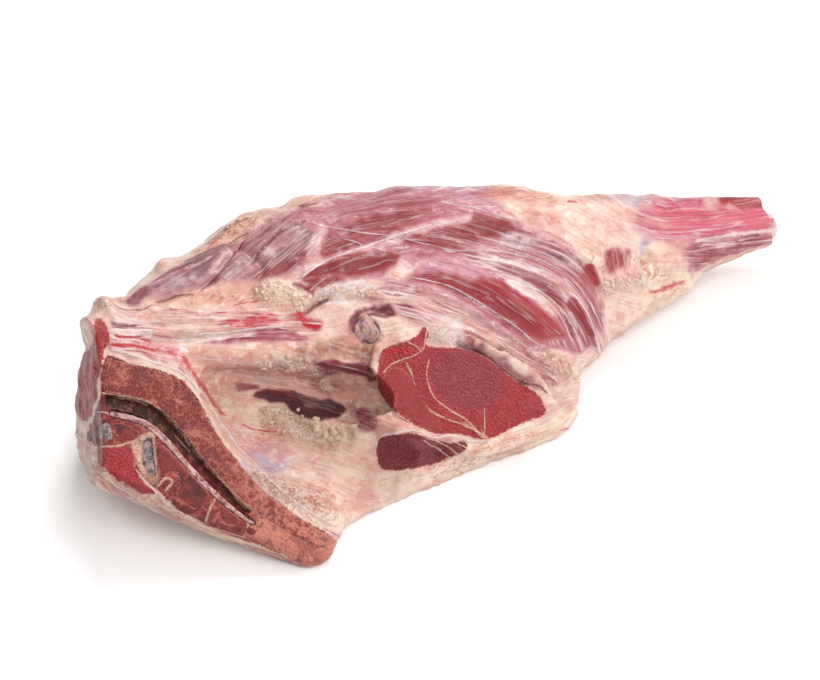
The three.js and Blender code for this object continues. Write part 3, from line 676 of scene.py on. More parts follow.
# Loose, lumpy fat: (half width in pixels, line).
LUMPY = (
    (14, ((268, 292), (300, 298))),
    (10, ((290, 366), (322, 368))),
    (14, ((276, 420), (310, 430), (334, 436))),
    (9, ((92, 308), (84, 325), (82, 340))),
    (9, ((215, 232), (250, 218))),
    (12, ((250, 480), (290, 490), (320, 500))),
    (8, ((324, 296), (350, 290), (370, 293))),
    (9, ((436, 334), (454, 336))),
    (12, ((510, 345), (545, 360), (570, 372))),
    (9, ((610, 285), (640, 280))),
    (8, ((100, 470), (140, 492), (180, 512))),
)

# Where fine veins show in the fat: (half width in pixels, line).
VEINED = (
    (20, ((262, 486), (300, 500), (330, 508))),
    (14, ((246, 438), (276, 436))),
    (14, ((600, 262), (640, 270), (672, 288))),
    (9, ((180, 300), (240, 298))),
    (12, ((440, 470), (520, 440))),
)

# Loose crumbs of fat: (how many, how wide the scatter in pixels, size in millimetres, line).
CRUMBS = (
    (64, 10, 4.0, ((268, 410), (296, 420), (324, 430), (336, 438))),
    (24, 6, 3.4, ((264, 364), (284, 366), (304, 369))),
    (26, 9, 3.6, ((262, 292), (280, 292), (300, 297), (306, 306))),
    (14, 7, 3.2, ((86, 304), (98, 300), (110, 306))),
    (14, 6, 3.2, ((324, 297), (342, 292), (358, 289), (370, 293))),
    (12, 7, 3.0, ((548, 352), (566, 362), (576, 374))),
    (12, 6, 2.6, ((222, 232), (236, 224), (250, 214))),
    (9, 4, 2.6, ((378, 338), (392, 336), (404, 330))),
    (8, 5, 2.4, ((262, 480), (280, 492))),
    (8, 6, 2.8, ((612, 286), (626, 280), (640, 282))),
)


# ------------------------------------------------------------------ curves and distances in the view
def smooth_line(points, closed=False, steps=4):
    """A line through the points with rounded turns."""
    p = np.array(points, float)
    if closed:
        before, start, after, beyond = np.roll(p, 1, 0), p, np.roll(p, -1, 0), np.roll(p, -2, 0)
    else:
        before, start, after = np.vstack([p[:1], p[:-2]]), p[:-1], p[1:]
        beyond = np.vstack([p[2:], p[-1:]])
    rows = []
    for step in range(steps):
        t = step / steps
        rows.append(0.5 * (
            2 * start + (after - before) * t + (2 * before - 5 * start + 4 * after - beyond) * t**2
            + (3 * start - before - 3 * after + beyond) * t**3
        ))
    line = np.stack(rows, 1).reshape(-1, p.shape[1])
    return line if closed else np.vstack([line, p[-1:]])


def line_distance(at, line):
    """Distance of each place from the line."""
    nearest = np.full(len(at), np.inf)
    for a, b in zip(line[:-1], line[1:]):
        along = b - a
        share = np.clip(((at - a) @ along) / max(along @ along, 1e-9), 0, 1)
        nearest = np.minimum(nearest, np.hypot(*(at - a - share[:, None] * along).T))
    return nearest


def along_line(at, line):
    """How far along the line each place is, and how far to its side."""
    nearest = np.full(len(at), np.inf)
    along_it, beside_it = np.zeros(len(at)), np.zeros(len(at))
    run = 0
    last = len(line) - 2
    for i, (a, b) in enumerate(zip(line[:-1], line[1:])):
        step = b - a
        length = math.hypot(*step)
        share = (at - a) @ step / length**2
        share = np.clip(share, -np.inf if i == 0 else 0, np.inf if i == last else 1)
        off = at - a - share[:, None] * step
        away = np.hypot(*off.T)
        closer = away < nearest
        nearest = np.where(closer, away, nearest)
        along_it = np.where(closer, run + share * length, along_it)
        side = (step[0] * off[:, 1] - step[1] * off[:, 0]) / length
        beside_it = np.where(closer, side, beside_it)
        run += length
    return along_it, beside_it


def outline_distance(at, outline):
    """Distance of each place from an outline, less than nothing inside it."""
    ring = smooth_line(outline, closed=True)
    ring = np.vstack([ring, ring[:1]])
    inside = np.zeros(len(at), bool)
    x, y = at.T
    for (ax, ay), (bx, by) in zip(ring[:-1], ring[1:]):
        if ay != by:
            crosses = (ay > y) != (by > y)
            inside ^= crosses & (x < ax + (y - ay) * (bx - ax) / (by - ay))
    return line_distance(at, ring) * np.where(inside, -1, 1)


def near(at, points, margin):
    """Which places are within a margin of the points' box."""
    low = np.min(points, 0) - margin
    high = np.max(points, 0) + margin
    return np.flatnonzero(((at > low) & (at < high)).all(1))


def ease(low, high, value):
    """0 where the value is low, 1 where it is high, and a smooth step between them."""
    share = np.clip((value - low) / (high - low), 0, 1)
    return share * share * (3 - 2 * share)


def bell(at, width, points):
    """The places near a line, and their shares: 1 on the line, falling away over its half width."""
    line = smooth_line(points)
    some = near(at, line, width * BELL_REACH)
    away = line_distance(at[some], line) / width
    return some, np.exp(-away * away * BELL_SLOPE)


def field(points, size, seed, octaves=3):
    """Seeded noise about 0 at each point, with features of one size in metres."""
    shift = Vector((seed * 17.3, seed * 9.1, seed * 5.7))
    return np.array([
        noise.fractal(Vector(p) / size + shift, 1.0, 2.0, octaves, noise_basis="PERLIN_ORIGINAL")
        for p in points
    ])


# ------------------------------------------------------------------ shaping
def as_piece(name, shape):
    """An object of its own from a bmesh, at the origin."""
    mesh = bpy.data.meshes.new(name)
    shape.to_mesh(mesh)
    shape.free()
    piece = bpy.data.objects.new(name, mesh)
    bpy.context.scene.collection.objects.link(piece)
    return piece


def settle(piece):
    """Works a piece's modifiers into its mesh."""
    made = bpy.data.meshes.new_from_object(piece.evaluated_get(bpy.context.evaluated_depsgraph_get()))
    piece.modifiers.clear()
    piece.data = made
    made.name = piece.name


def rebuild(piece, cell):
    """Rebuilds a piece from even cells and smooths it."""
    cells = piece.modifiers.new("cells", "REMESH")
    cells.mode = "VOXEL"
    cells.voxel_size = cell
    piece.modifiers.new("smooth", "SMOOTH").iterations = SMOOTHING
    settle(piece)


def rows_of(piece):
    """The places and normals of a piece's points."""
    rows = []
    for name in ("co", "normal"):
        values = np.zeros(len(piece.data.vertices) * 3, np.float32)
        piece.data.vertices.foreach_get(name, values)
        rows.append(values.reshape(-1, 3).astype(float))
    return rows


def edge_ends(piece):
    """The two points of each of a piece's edges."""
    ends = np.zeros(len(piece.data.edges) * 2, np.int32)
    piece.data.edges.foreach_get("vertices", ends)
    return ends.reshape(-1, 2).T


def move_rows(piece, points):
    """Puts a piece's points where the rows say."""
    piece.data.vertices.foreach_set("co", points.astype(np.float32).ravel())
    piece.data.update()


def thin_far_side(piece, most):
    """Leaves fewer faces where the piece turns from the view, so that it has the most triangles it may."""
    _, normals = rows_of(piece)
    far = np.flatnonzero(normals @ np.array(view_axes()[2]) < TURNED_AWAY)
    piece.vertex_groups.new(name="far").add(far.tolist(), 1.0, "REPLACE")
    fewer = piece.modifiers.new("fewer", "DECIMATE")
    fewer.vertex_group = "far"
    fewer.ratio = most / sum(len(face.vertices) - 2 for face in piece.data.polygons)
    settle(piece)
    piece.vertex_groups.clear()


def spread(piece, values, rounds):
    """Lets values on a piece's points run into those beside them."""
    a, b = edge_ends(piece)
    count = len(values)
    beside = np.bincount(a, minlength=count) + np.bincount(b, minlength=count)
    for _ in range(rounds):
        total = np.bincount(a, values[b], count) + np.bincount(b, values[a], count)
        values = (values + total / beside) / 2
    return values


def note(piece, name, rows):
    """Keeps vectors, or colours with their alpha, on a piece's points for its finish to read."""
    kind, field_name = {3: ("FLOAT_VECTOR", "vector"), 4: ("FLOAT_COLOR", "color")}[rows.shape[1]]
    kept = piece.data.attributes.new(name, kind, "POINT")
    kept.data.foreach_set(field_name, rows.astype(np.float32).ravel())


def tree_of(*nodes):
    """What finds the nearest place on some of the frame's solids."""
    shape = bmesh.new()
    for node in nodes:
        shape.from_mesh(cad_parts[node].data)
    tree = BVHTree.FromBMesh(shape)
    shape.free()
    return tree


def tree_on(piece):
    """What finds a place on a piece as it now is."""
    points, _ = rows_of(piece)
    return BVHTree.FromPolygons(
        [tuple(p) for p in points], [tuple(face.vertices) for face in piece.data.polygons],
    )


def hold(piece, finish, slot, *nodes):
    """Gives a piece its finish and its place in the frame."""
    piece.data.materials.clear()
    piece.data.materials.append(finish)
    for face in piece.data.polygons:
        face.use_smooth = True
    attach(piece, "root")
    if nodes:
        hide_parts(*nodes)


# ------------------------------------------------------------------ painting
def seen_share(piece, points, normals):
    """1 where the view shows a point, fading raggedly to 0 beyond the piece's outline."""
    back = view_axes()[2]
    facing = normals @ np.array(back)
    own = tree_on(piece)
    open_to_view = np.array([
        facing[i] > TURNED_AWAY and own.ray_cast(Vector(p) + Vector(n) * CLEAR_OF_SKIN, back, 0.5)[0] is None
        for i, (p, n) in enumerate(zip(points, normals))
    ])
    clear_view = ease(-0.03, 0.07, facing) * open_to_view
    ragged = spread(piece, clear_view, FADE_ROUNDS) * 1.9 + field(points, 0.012, 41) * 0.5
    return np.maximum(clear_view, ease(0.1, 0.9, ragged))


def painted_layers(at, points, seen, colours):
    """The colours of fat and flesh, how thick the fat lies, the streaks and the grain at each point."""
    blush = ease(-0.25, 0.35, field(points, 0.055, 3)) * 0.75 + ease(0.09, 0.2, points[:, 0]) * 0.5
    blush = np.clip(blush, 0, 1)[:, None]
    fat = np.array(colours.rind) * (1 - blush) + np.array(colours.rind_pink) * blush
    flesh = np.tile(np.array(colours.rosy), (len(at), 1))
    film = np.full(len(at), RIND_FILM)
    streaks = np.full(len(at), RIND_STREAKS)
    grain = np.stack([points[:, 0], points[:, 1] + points[:, 2]], 1) / PIXEL
    wobble = field(points, 0.011, 5) * 7
    for fat_name, flesh_name, thick, soft, grain_name, streak, outline in LAYERS:
        some = near(at, outline, soft + 8)
        away = outline_distance(at[some], outline) + wobble[some] * min(1, soft / 5)
        share = ease(soft, -soft, away) * seen[some]
        for rows, name in ((fat, fat_name), (flesh, flesh_name)):
            if name:
                rows[some] += (np.array(getattr(colours, name)) - rows[some]) * share[:, None]
        film[some] += (thick - film[some]) * share
        streaks[some] += (streak - streaks[some]) * share
        chosen = some[share > 0.5]
        grain[chosen] = np.stack(along_line(at[chosen], smooth_line(GRAINS[grain_name])), 1)
    return fat, flesh, film, streaks, grain


def steady_grain(piece, grain, at):
    """1 where the grain runs on smoothly, falling to 0 where one grain meets another."""
    a, b = edge_ends(piece)
    length = np.hypot(*(at[a] - at[b]).T)
    jump = np.hypot(*(grain[a] - grain[b]).T) > length * 2.2 + 1.5
    steady = np.ones(len(at))
    steady[a[jump]] = 0
    steady[b[jump]] = 0
    for _ in range(2):
        beside = steady.copy()
        np.minimum.at(beside, a, steady[b] + 0.4)
        np.minimum.at(beside, b, steady[a] + 0.4)
        steady = beside
    return steady


def painted_cuts(at, seen, colours):
    """How far each point is from the edge of a cut face, the colour of the cut, and where it is bone."""
    edge = np.full(len(at), float(CUT_REACH))
    tint = np.tile(np.array(colours.cut), (len(at), 1))
    bony = np.zeros(len(at))
    for name, bone, outline in CUTS:
        some = near(at, outline, CUT_REACH)
        away = outline_distance(at[some], outline)
        share = ease(1.5, -1.5, away)
        tint[some] += (np.array(getattr(colours, name)) - tint[some]) * share[:, None]
        bony[some] += (bone - bony[some]) * share
        edge[some] = np.minimum(edge[some], away)
    return edge * seen + CUT_REACH * (1 - seen), tint, bony


def line_marks(at, seen, lines):
    """How far each point is from the edge of the nearest line, and from its middle in half widths."""
    marks = np.zeros((len(at), 3))
    beyond, beside, _ = marks.T
    marks[:, :2] = LINE_REACH
    for width, points in lines:
        line = smooth_line(points)
        some = near(at, line, LINE_REACH + width)
        away = line_distance(at[some], line) - width
        closer = away < beyond[some]
        chosen = some[closer]
        beyond[chosen] = away[closer]
        _, side = along_line(at[chosen], line)
        beside[chosen] = np.where(side < 0, -1, 1) * (away[closer] + width) / width
    beyond[:] = beyond * seen + LINE_REACH * (1 - seen)
    return marks


def painted_relief(at, seen):
    """Height of the drawn swells and clefts, in metres."""
    height = np.zeros(len(at))
    for width, tall, points in RELIEF:
        some, share = bell(at, width, points)
        height[some] += tall / 1000 * share
    return height * seen


def pulled(at):
    """How far each point moves in the plane of the view, in metres."""
    right, up, _ = (np.array(axis) for axis in view_axes())
    shift = np.zeros((len(at), 3))
    for width, across, upward, points in PULLS:
        some, share = bell(at, width, points)
        shift[some] += share[:, None] * (right * across + up * upward) / 1000
    return shift


def band_share(at, seen, bands):
    """1 along the bands, falling to 0 beside them."""
    share = np.zeros(len(at))
    for width, points in bands:
        line = smooth_line(points)
        some = near(at, line, width * 1.6)
        away = line_distance(at[some], line)
        share[some] = np.maximum(share[some], ease(width * 1.3, width * 0.5, away))
    return share * seen


# ------------------------------------------------------------------ finishes
class Wire:
    """A socket of a finish. Sums on it add the nodes that work them out."""

    def __init__(self, finish, socket):
        self.finish = finish
        self.socket = socket

    def _sum(self, operation, *values):
        return self.finish.node("Math", {"operation": operation}, dict(enumerate(values)))

    def __add__(self, other):
        return self._sum("ADD", self, other)

    def __sub__(self, other):
        return self._sum("SUBTRACT", self, other)

    def __rsub__(self, other):
        return self._sum("SUBTRACT", other, self)

    def __mul__(self, other):
        return self._sum("MULTIPLY", self, other)

    def __abs__(self):
        return self._sum("ABSOLUTE", self)

    __radd__, __rmul__ = __add__, __mul__

    def ease(self, low, high):
        """0 where this is low, 1 where it is high, and a smooth step between them."""
        return self.finish.node(
            "MapRange", {"interpolation_type": "SMOOTHSTEP"},
            {"Value": self, "From Min": low, "From Max": high},
        )

    def ridge(self, middle, width):
        """1 where this is near a value, for thin winding lines out of noise."""
        return abs(self - middle).ease(width, width * 0.2)

    def parts(self):
        """The three numbers of a vector."""
        return [self.finish.node("SeparateXYZ", {}, {"Vector": self}, way) for way in "XYZ"]


class Finish:
    """A material whose nodes are written as sums."""

    def __init__(self, name):
        self.material = bpy.data.materials.new(name)
        self.material.use_nodes = True
        self.tree = self.material.node_tree
        self.tree.nodes.clear()
        self.place = self.node("TexCoord", {}, {}, "Object")

    def node(self, kind, settings, values, output=0):
        """Adds a node, with its settings first, then the values or wires of its sockets."""
        made = self.tree.nodes.new("ShaderNode" + kind)
        for name, value in settings.items():
            setattr(made, name, value)
        for name, value in values.items():
            socket = made.inputs[name]
            if isinstance(value, Wire):
                self.tree.links.new(value.socket, socket)
            elif socket.type == "RGBA":
                socket.default_value = (*tuple(value)[:3], 1)
            else:
                socket.default_value = value
        return Wire(self, made.outputs[output]) if made.outputs else None

    def noted(self, name, output):
        """What a piece keeps on its points under this name."""
        return self.node("Attribute", {"attribute_name": name}, {}, output)

    def mix(self, share, first, second):
        """From the first colour to the second."""
        return self.node("Mix", {"data_type": "RGBA", "clamp_factor": True}, {0: share, 6: first, 7: second}, 2)

    def coats(self, base, *coats):
        """A colour with coats laid over it in turn: (share, colour)."""
        for share, tint in coats:
            base = self.mix(share, base, tint)
        return base

    def noise(self, size, detail=2.0, rough=0.5, warp=0.0, at=None):
        """Noise from 0 to 1 with features of this size in metres."""
        values = {"Scale": 1 / size, "Detail": detail, "Roughness": rough, "Distortion": warp}
        return self.node("TexNoise", {}, {"Vector": at or self.place, **values}, "Fac")

    def cells(self, size, at=None):
        """How far each place is from the middle of its cell, in cells of this size in metres."""
        return self.node("TexVoronoi", {}, {"Vector": at or self.place, "Scale": 1 / size}, "Distance")

    def vector(self, x, y, z):
        return self.node("CombineXYZ", {}, {"X": x, "Y": y, "Z": z})

    def warped(self, amount, size):
        """Places pushed about by noise, so that a pattern on them wavers."""
        push = self.node("TexNoise", {}, {"Vector": self.place, "Scale": 1 / size, "Detail": 2}, "Color")
        push = self.node("VectorMath", {"operation": "SCALE"}, {0: push, "Scale": amount})
        return self.node("VectorMath", {"operation": "ADD"}, {0: self.place, 1: push})

    def bump(self, height, depth):
        return self.node("Bump", {}, {"Height": height, "Strength": 1.0, "Distance": depth})

    def shade(self, **values):
        """Ends the finish with its shader."""
        names = {name.replace(" ", "_").lower(): name for name in (
            "Base Color", "Roughness", "Coat Weight", "Coat Roughness", "Normal", "Subsurface Weight",
            "Subsurface Radius", "Subsurface Scale", "Specular IOR Level",
        )}
        shader = self.node("BsdfPrincipled", {}, {names[name]: value for name, value in values.items()})
        self.node("OutputMaterial", {}, {"Surface": shader})
        return self.material


def line_mask(finish, name, swing):
    """Where a drawn line runs, from 0 to 1; the swing wavers its edges."""
    beyond, beside, _ = finish.noted(name, "Vector").parts()
    core = (abs(beside) + swing).ease(1.3, 0.4)
    return core * beyond.ease(2.6, 1.2)


def flesh_finish(colours):
    """Fat and silver skin over flesh, with its cut faces and the drawn lines."""
    f = Finish("flesh")
    film, streak, veins = f.noted("film", "Vector").parts()
    along, beside, lumps = f.noted("grain", "Vector").parts()
    edge, bony, steady = f.noted("cut", "Vector").parts()
    fat = f.noted("fat_tint", "Color")
    meat = f.noted("flesh_tint", "Color")
    cut = f.noted("cut_tint", "Color")

    large = f.noise(0.034, 2, 0.5)
    broad = f.noise(0.016, 3, 0.55)
    curls = f.noise(0.012, 2, 0.5, 1.2)
    wet = f.noise(0.007, 3, 0.6)
    middle = f.noise(0.0045, 3, 0.6, 0.3)
    flakes = f.noise(0.0042, 3, 0.6, 1.6)
    fine = f.noise(0.0014, 2, 0.6)
    specks = f.noise(0.0007, 2, 0.7)
    # noise drawn out along the grain
    steady = steady.ease(0.2, 0.9)
    flow = f.noise(1.0, 3, 0.55, 0.6, at=f.vector(along * 0.022, beside * 0.06, broad * 1.2 + 9))
    bands = f.noise(1.0, 3, 0.55, 0.3, at=f.vector(along * 0.018, beside * 0.13, broad * 1.5))
    threads = f.noise(1.0, 2, 0.5, 0.1, at=f.vector(along * 0.02, beside * 0.36, broad * 0.4))
    long_lines = f.noise(1.0, 2, 0.5, 0.1, at=f.vector(along * 0.01, beside * 0.16, broad * 0.35 + 4))
    flow = (flow - 0.4) * steady + 0.4
    bands = (bands - 0.5) * steady + 0.5
    threads = (threads - 0.5) * steady + 0.5

    # the fat, in soft blotches with folds along the grain, veins, flecks and crumbs; the folds and the crumbs get
    # painted shade and painted highlight
    veins = veins * 0.8 + 0.12
    fat = f.coats(
        fat,
        (large.ease(0.5, 0.62) * 0.55, colours.rind_pink),
        (large.ease(0.5, 0.38) * 0.35, colours.cream),
        (broad.ease(0.51, 0.64) * 0.5, colours.peach),
        (broad.ease(0.56, 0.7) * 0.4, colours.tan),
        (broad.ease(0.47, 0.36) * 0.55, colours.cream),
        (middle.ease(0.52, 0.68) * 0.4, colours.peach),
        (middle.ease(0.46, 0.34) * 0.35, colours.cream),
        # painted shade and painted highlight along the folds of the fat
        (flow.ridge(0.5, 0.09) * middle.ease(0.35, 0.55) * 0.3, colours.orange),
        (flow.ridge(0.6, 0.09) * middle.ease(0.6, 0.4) * 0.4, colours.cream),
        (curls.ridge(0.6, 0.03) * veins * 0.7, colours.vein),
        (curls.ridge(0.44, 0.02) * veins * 0.6, colours.red_vein),
        (threads.ease(0.56, 0.7) * 0.4, colours.tan),
        (specks.ease(0.62, 0.8) * 0.3, colours.crumb),
        # painted shade between the loose flakes of fat, painted light on them
        (lumps * flakes.ease(0.46, 0.34) * 0.5, colours.vein),
        (lumps * flakes.ease(0.54, 0.66) * 0.8, colours.cream),
    )

    # the flesh, streaked along its grain
    meat = f.coats(
        meat,
        (bands.ease(0.5, 0.3) * 0.3, colours.wine_and_shade),
        (bands.ease(0.54, 0.72) * streak * 0.3, colours.mauve),
        (threads.ease(0.48, 0.34) * 0.3, colours.wine_and_shade),
        (threads.ease(0.54, 0.68) * streak * 0.4, colours.peach),
        (broad.ease(0.5, 0.7) * 0.5, colours.crimson),
        (specks.ease(0.64, 0.8) * 0.2, colours.rosy),
    )

    # fat over flesh, in strands along the grain
    lines = long_lines.ridge(0.52, 0.045) * threads.ease(0.36, 0.5) * steady
    red_lines = long_lines.ridge(0.41, 0.04) * threads.ease(0.62, 0.48) * steady
    cover = film + (bands - 0.5) * streak * 1.9 + (threads - 0.5) * streak * 1.1 + (middle - 0.5) * 0.5
    cover = cover.ease(0.08, 0.92)
    skin = f.coats(
        meat,
        (cover, fat),
        (cover * (1 - cover) * 0.9, colours.mauve),
        (red_lines * streak * 0.5, colours.rosy),
        (lines * streak * 0.75, colours.strand),
    )

    # the cut faces, in granules with painted glints, or in spongy bone
    grains = f.cells(0.0015, at=f.warped(0.0009, 0.003))
    flat = f.coats(
        cut,
        (grains.ease(0.3, 0.75) * 0.6, colours.cut_deep),
        # painted glints: light granules and specks on the cut muscle
        (grains.ease(0.36, 0.12) * middle.ease(0.4, 0.58) * 0.4, colours.granule_glint),
        (broad.ease(0.52, 0.68) * 0.5, colours.cut_deep),
        (fine.ease(0.62, 0.74) * 0.2, colours.granule_glint),
    )
    spongy = f.coats(
        cut,
        (middle.ease(0.5, 0.64) * 0.5, colours.marrow_pale),
        (broad.ease(0.52, 0.62) * 0.5, colours.marrow_warm),
        (middle.ease(0.48, 0.36) * 0.55, colours.wine_and_shade),
        (fine.ease(0.48, 0.34) * 0.3, colours.wine_and_shade),
    )
    sawn = (edge + (middle - 0.5) * 5 + (fine - 0.5) * 3).ease(0.9, -0.9)

    # the drawn lines: pale strands, deep red strands with painted shade in clefts, and blood
    ragged = (middle - 0.5) * 2.4 + (fine - 0.5) * 2
    pale = line_mask(f, "pale", ragged)
    dark = line_mask(f, "dark", ragged)
    blood = line_mask(f, "blood", ragged * 1.3)
    now = f.coats(
        skin,
        (sawn, f.mix(bony, flat, spongy)),
        (pale * (0.3 + fine * 0.8), f.mix(sawn, colours.strand, colours.bone_rim)),
        (dark * (0.35 + fine * 0.8), colours.dark),
        (blood * (0.35 + fine * 0.9), colours.blood),
    )

    bare = 1 - cover
    rough = 0.4 - bare * 0.06 + (wet - 0.5) * 0.35 + (fine - 0.5) * 0.15
    ridges = bands * 0.9 + threads * 0.45 + lines * 0.4
    folds = flow * 1.3 + middle * 0.8 + fine * 0.3
    height = ridges * (0.4 + bare * 0.6) * (1 - sawn * 0.85) + folds * (cover * 0.8 + 0.2) * (1 - sawn)
    height = height + lumps * flakes * 3.0 + sawn * ((1 - grains) * 1.2 + fine * 0.5)
    height = height + pale * 0.5 - dark * 0.3 + specks * 0.2
    return f.shade(
        base_color=now, roughness=rough, coat_weight=wet.ease(0.46, 0.64) * (1 - sawn * 0.7) * 0.45,
        coat_roughness=0.14, specular_ior_level=0.3, subsurface_weight=0.08,
        subsurface_radius=(1.0, 0.35, 0.25), subsurface_scale=0.003, normal=f.bump(height, 0.0009),
    )


def crumb_finish(colours):
    """Loose crumbs of fat."""
    f = Finish("fat_crumbs")
    broad = f.noise(0.006, 2, 0.5)
    middle = f.noise(0.002, 3, 0.6)
    fine = f.noise(0.0008, 2, 0.6)
    now = f.coats(
        colours.crumb,
        (broad.ease(0.46, 0.62) * 0.7, colours.cream),
        (middle.ease(0.52, 0.7) * 0.6, colours.tan),
        (fine.ease(0.6, 0.75) * 0.4, colours.vein),
    )
    return f.shade(
        base_color=now, roughness=0.5 + (fine - 0.5) * 0.2, coat_weight=broad.ease(0.45, 0.6) * 0.2,
        coat_roughness=0.12, subsurface_weight=0.1, subsurface_radius=(1.0, 0.5, 0.35),
        subsurface_scale=0.002, normal=f.bump(middle + fine * 0.6, 0.0005),
    )


def bone_finish(name, core, mottle, deep, rim, rim_depth):
    """Sawn spongy bone, with a hard rim of this depth in millimetres."""
    f = Finish(name)
    depth, _, tail = f.noted("rim", "Vector").parts()
    broad = f.noise(0.013, 3, 0.6, 0.4)
    middle = f.noise(0.0028, 3, 0.6, 0.3)
    fine = f.noise(0.0011, 2, 0.6)
    holes = f.cells(0.0014)
    edge = (depth + (middle - 0.5) * 1.8).ease(rim_depth + 0.5, rim_depth - 0.4)
    now = f.coats(
        core,
        (broad.ease(0.5, 0.66) * 0.6, mottle),
        (middle.ease(0.53, 0.68) * 0.45, mottle),
        (broad.ease(0.5, 0.38) * 0.85, deep),
        (middle.ease(0.48, 0.32) * 0.6, deep),
        (holes.ease(0.5, 0.15) * 0.7, deep),
        (holes.ease(0.55, 0.8) * 0.25, mottle),
        (tail * middle.ease(0.4, 0.6) * 0.8, mottle),
        (fine.ease(0.6, 0.74) * 0.25, rim),
        (edge * 0.8, rim),
    )
    height = fine * 0.5 + middle * 0.6 - holes.ease(0.4, 0.05) * 0.5 + edge * 0.4
    return f.shade(
        base_color=now, roughness=0.5 + (fine - 0.5) * 0.3, coat_weight=broad.ease(0.46, 0.66) * 0.2,
        coat_roughness=0.2, specular_ior_level=0.3, subsurface_weight=0.08,
        subsurface_radius=(1.0, 0.3, 0.2), subsurface_scale=0.002, normal=f.bump(height, 0.0006),
    )


def gristle_finish(name, tint, rim, stain):
    """Tough, wet gristle with pale strands and stains."""
    f = Finish(name)
    broad = f.noise(0.005, 2, 0.5)
    middle = f.noise(0.0026, 3, 0.6, 0.6)
    fine = f.noise(0.0012, 3, 0.6)
    now = f.coats(
        tint,
        (broad.ease(0.42, 0.62) * 0.7, rim),
        (middle.ease(0.5, 0.38) * 0.7, stain),
        (middle.ridge(0.55, 0.05) * 0.6, rim),
        (fine.ease(0.58, 0.72) * 0.35, stain),
    )
    return f.shade(
        base_color=now, roughness=0.42 + (fine - 0.5) * 0.3, coat_weight=broad.ease(0.44, 0.62) * 0.5,
        coat_roughness=0.16, subsurface_weight=0.1, subsurface_radius=(1.0, 0.6, 0.5),
        subsurface_scale=0.002, normal=f.bump(broad * 0.8 + middle + fine * 0.5, 0.0007),
    )


# ------------------------------------------------------------------ pieces
def sawn_piece(node, cell, proud=SAW_PROUD, wave=SAW_WAVE, swell=SAW_SWELL):
    """A let-in solid that fills its place in the flesh, with an uneven sawn face."""
    shape = bmesh.new()
    shape.from_mesh(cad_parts[node].data)
    bmesh.ops.remove_doubles(shape, verts=shape.verts, dist=WELD)
    piece = as_piece(node + "_sawn", shape)
    rebuild(piece, cell)
    points, normals = rows_of(piece)
    walls = bmesh.new()
    walls.from_mesh(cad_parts[node].data)
    flat = [face for face in walls.faces if face.normal.dot(SAW_NORMAL) > 0.9]
    bmesh.ops.delete(walls, geom=flat, context="FACES_ONLY")
    tree = BVHTree.FromBMesh(walls)
    walls.free()
    depth = np.array([tree.find_nearest(Vector(p))[3] for p in points]) * 1000
    top = ease(0.4, 0.8, normals @ np.array(SAW_NORMAL))
    uneven = field(points, 0.009, 11) * wave + field(points, 0.003, 12, 2) * wave * 0.4
    lift = swell * (1 - top) + top * (proud + uneven * ease(0.3, 1.5, depth))
    move_rows(piece, points + normals * lift[:, None])
    note(piece, "rim", np.stack([depth, top, ease(*TAIL, in_view(points)[:, 0])], 1))
    return piece


def filled_flesh():
    """The flesh with its pockets filled, so that each let-in piece meets it without a gap."""
    shape = bmesh.new()
    for node in ("meat", *BONES, *CARTILAGES):
        part = bmesh.new()
        part.from_mesh(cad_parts[node].data)
        bmesh.ops.remove_doubles(part, verts=part.verts, dist=WELD)
        if node != "meat":
            part.normal_update()
            for point in part.verts:
                if point.normal.dot(SAW_NORMAL) < 0.3:
                    point.co += point.normal * POCKET_OVERLAP
        whole = bpy.data.meshes.new("filling")
        part.to_mesh(whole)
        part.free()
        shape.from_mesh(whole)
        bpy.data.meshes.remove(whole)
    return as_piece("flesh", shape)


def let_in_depth(points):
    """How far inside the walls of the let-in solids each point is, just under the sawn face."""
    depth = np.zeros(len(points))
    for node in (*BONES, *CARTILAGES):
        tree = tree_of(node)
        for i in near(points, np.array(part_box(node)), 0.001):
            inner = Vector(points[i]) - SAW_NORMAL * UNDER_FACE
            place, normal, _, away = tree.find_nearest(inner)
            if (inner - place).dot(normal) < 0:
                depth[i] = max(depth[i], away)
    return depth


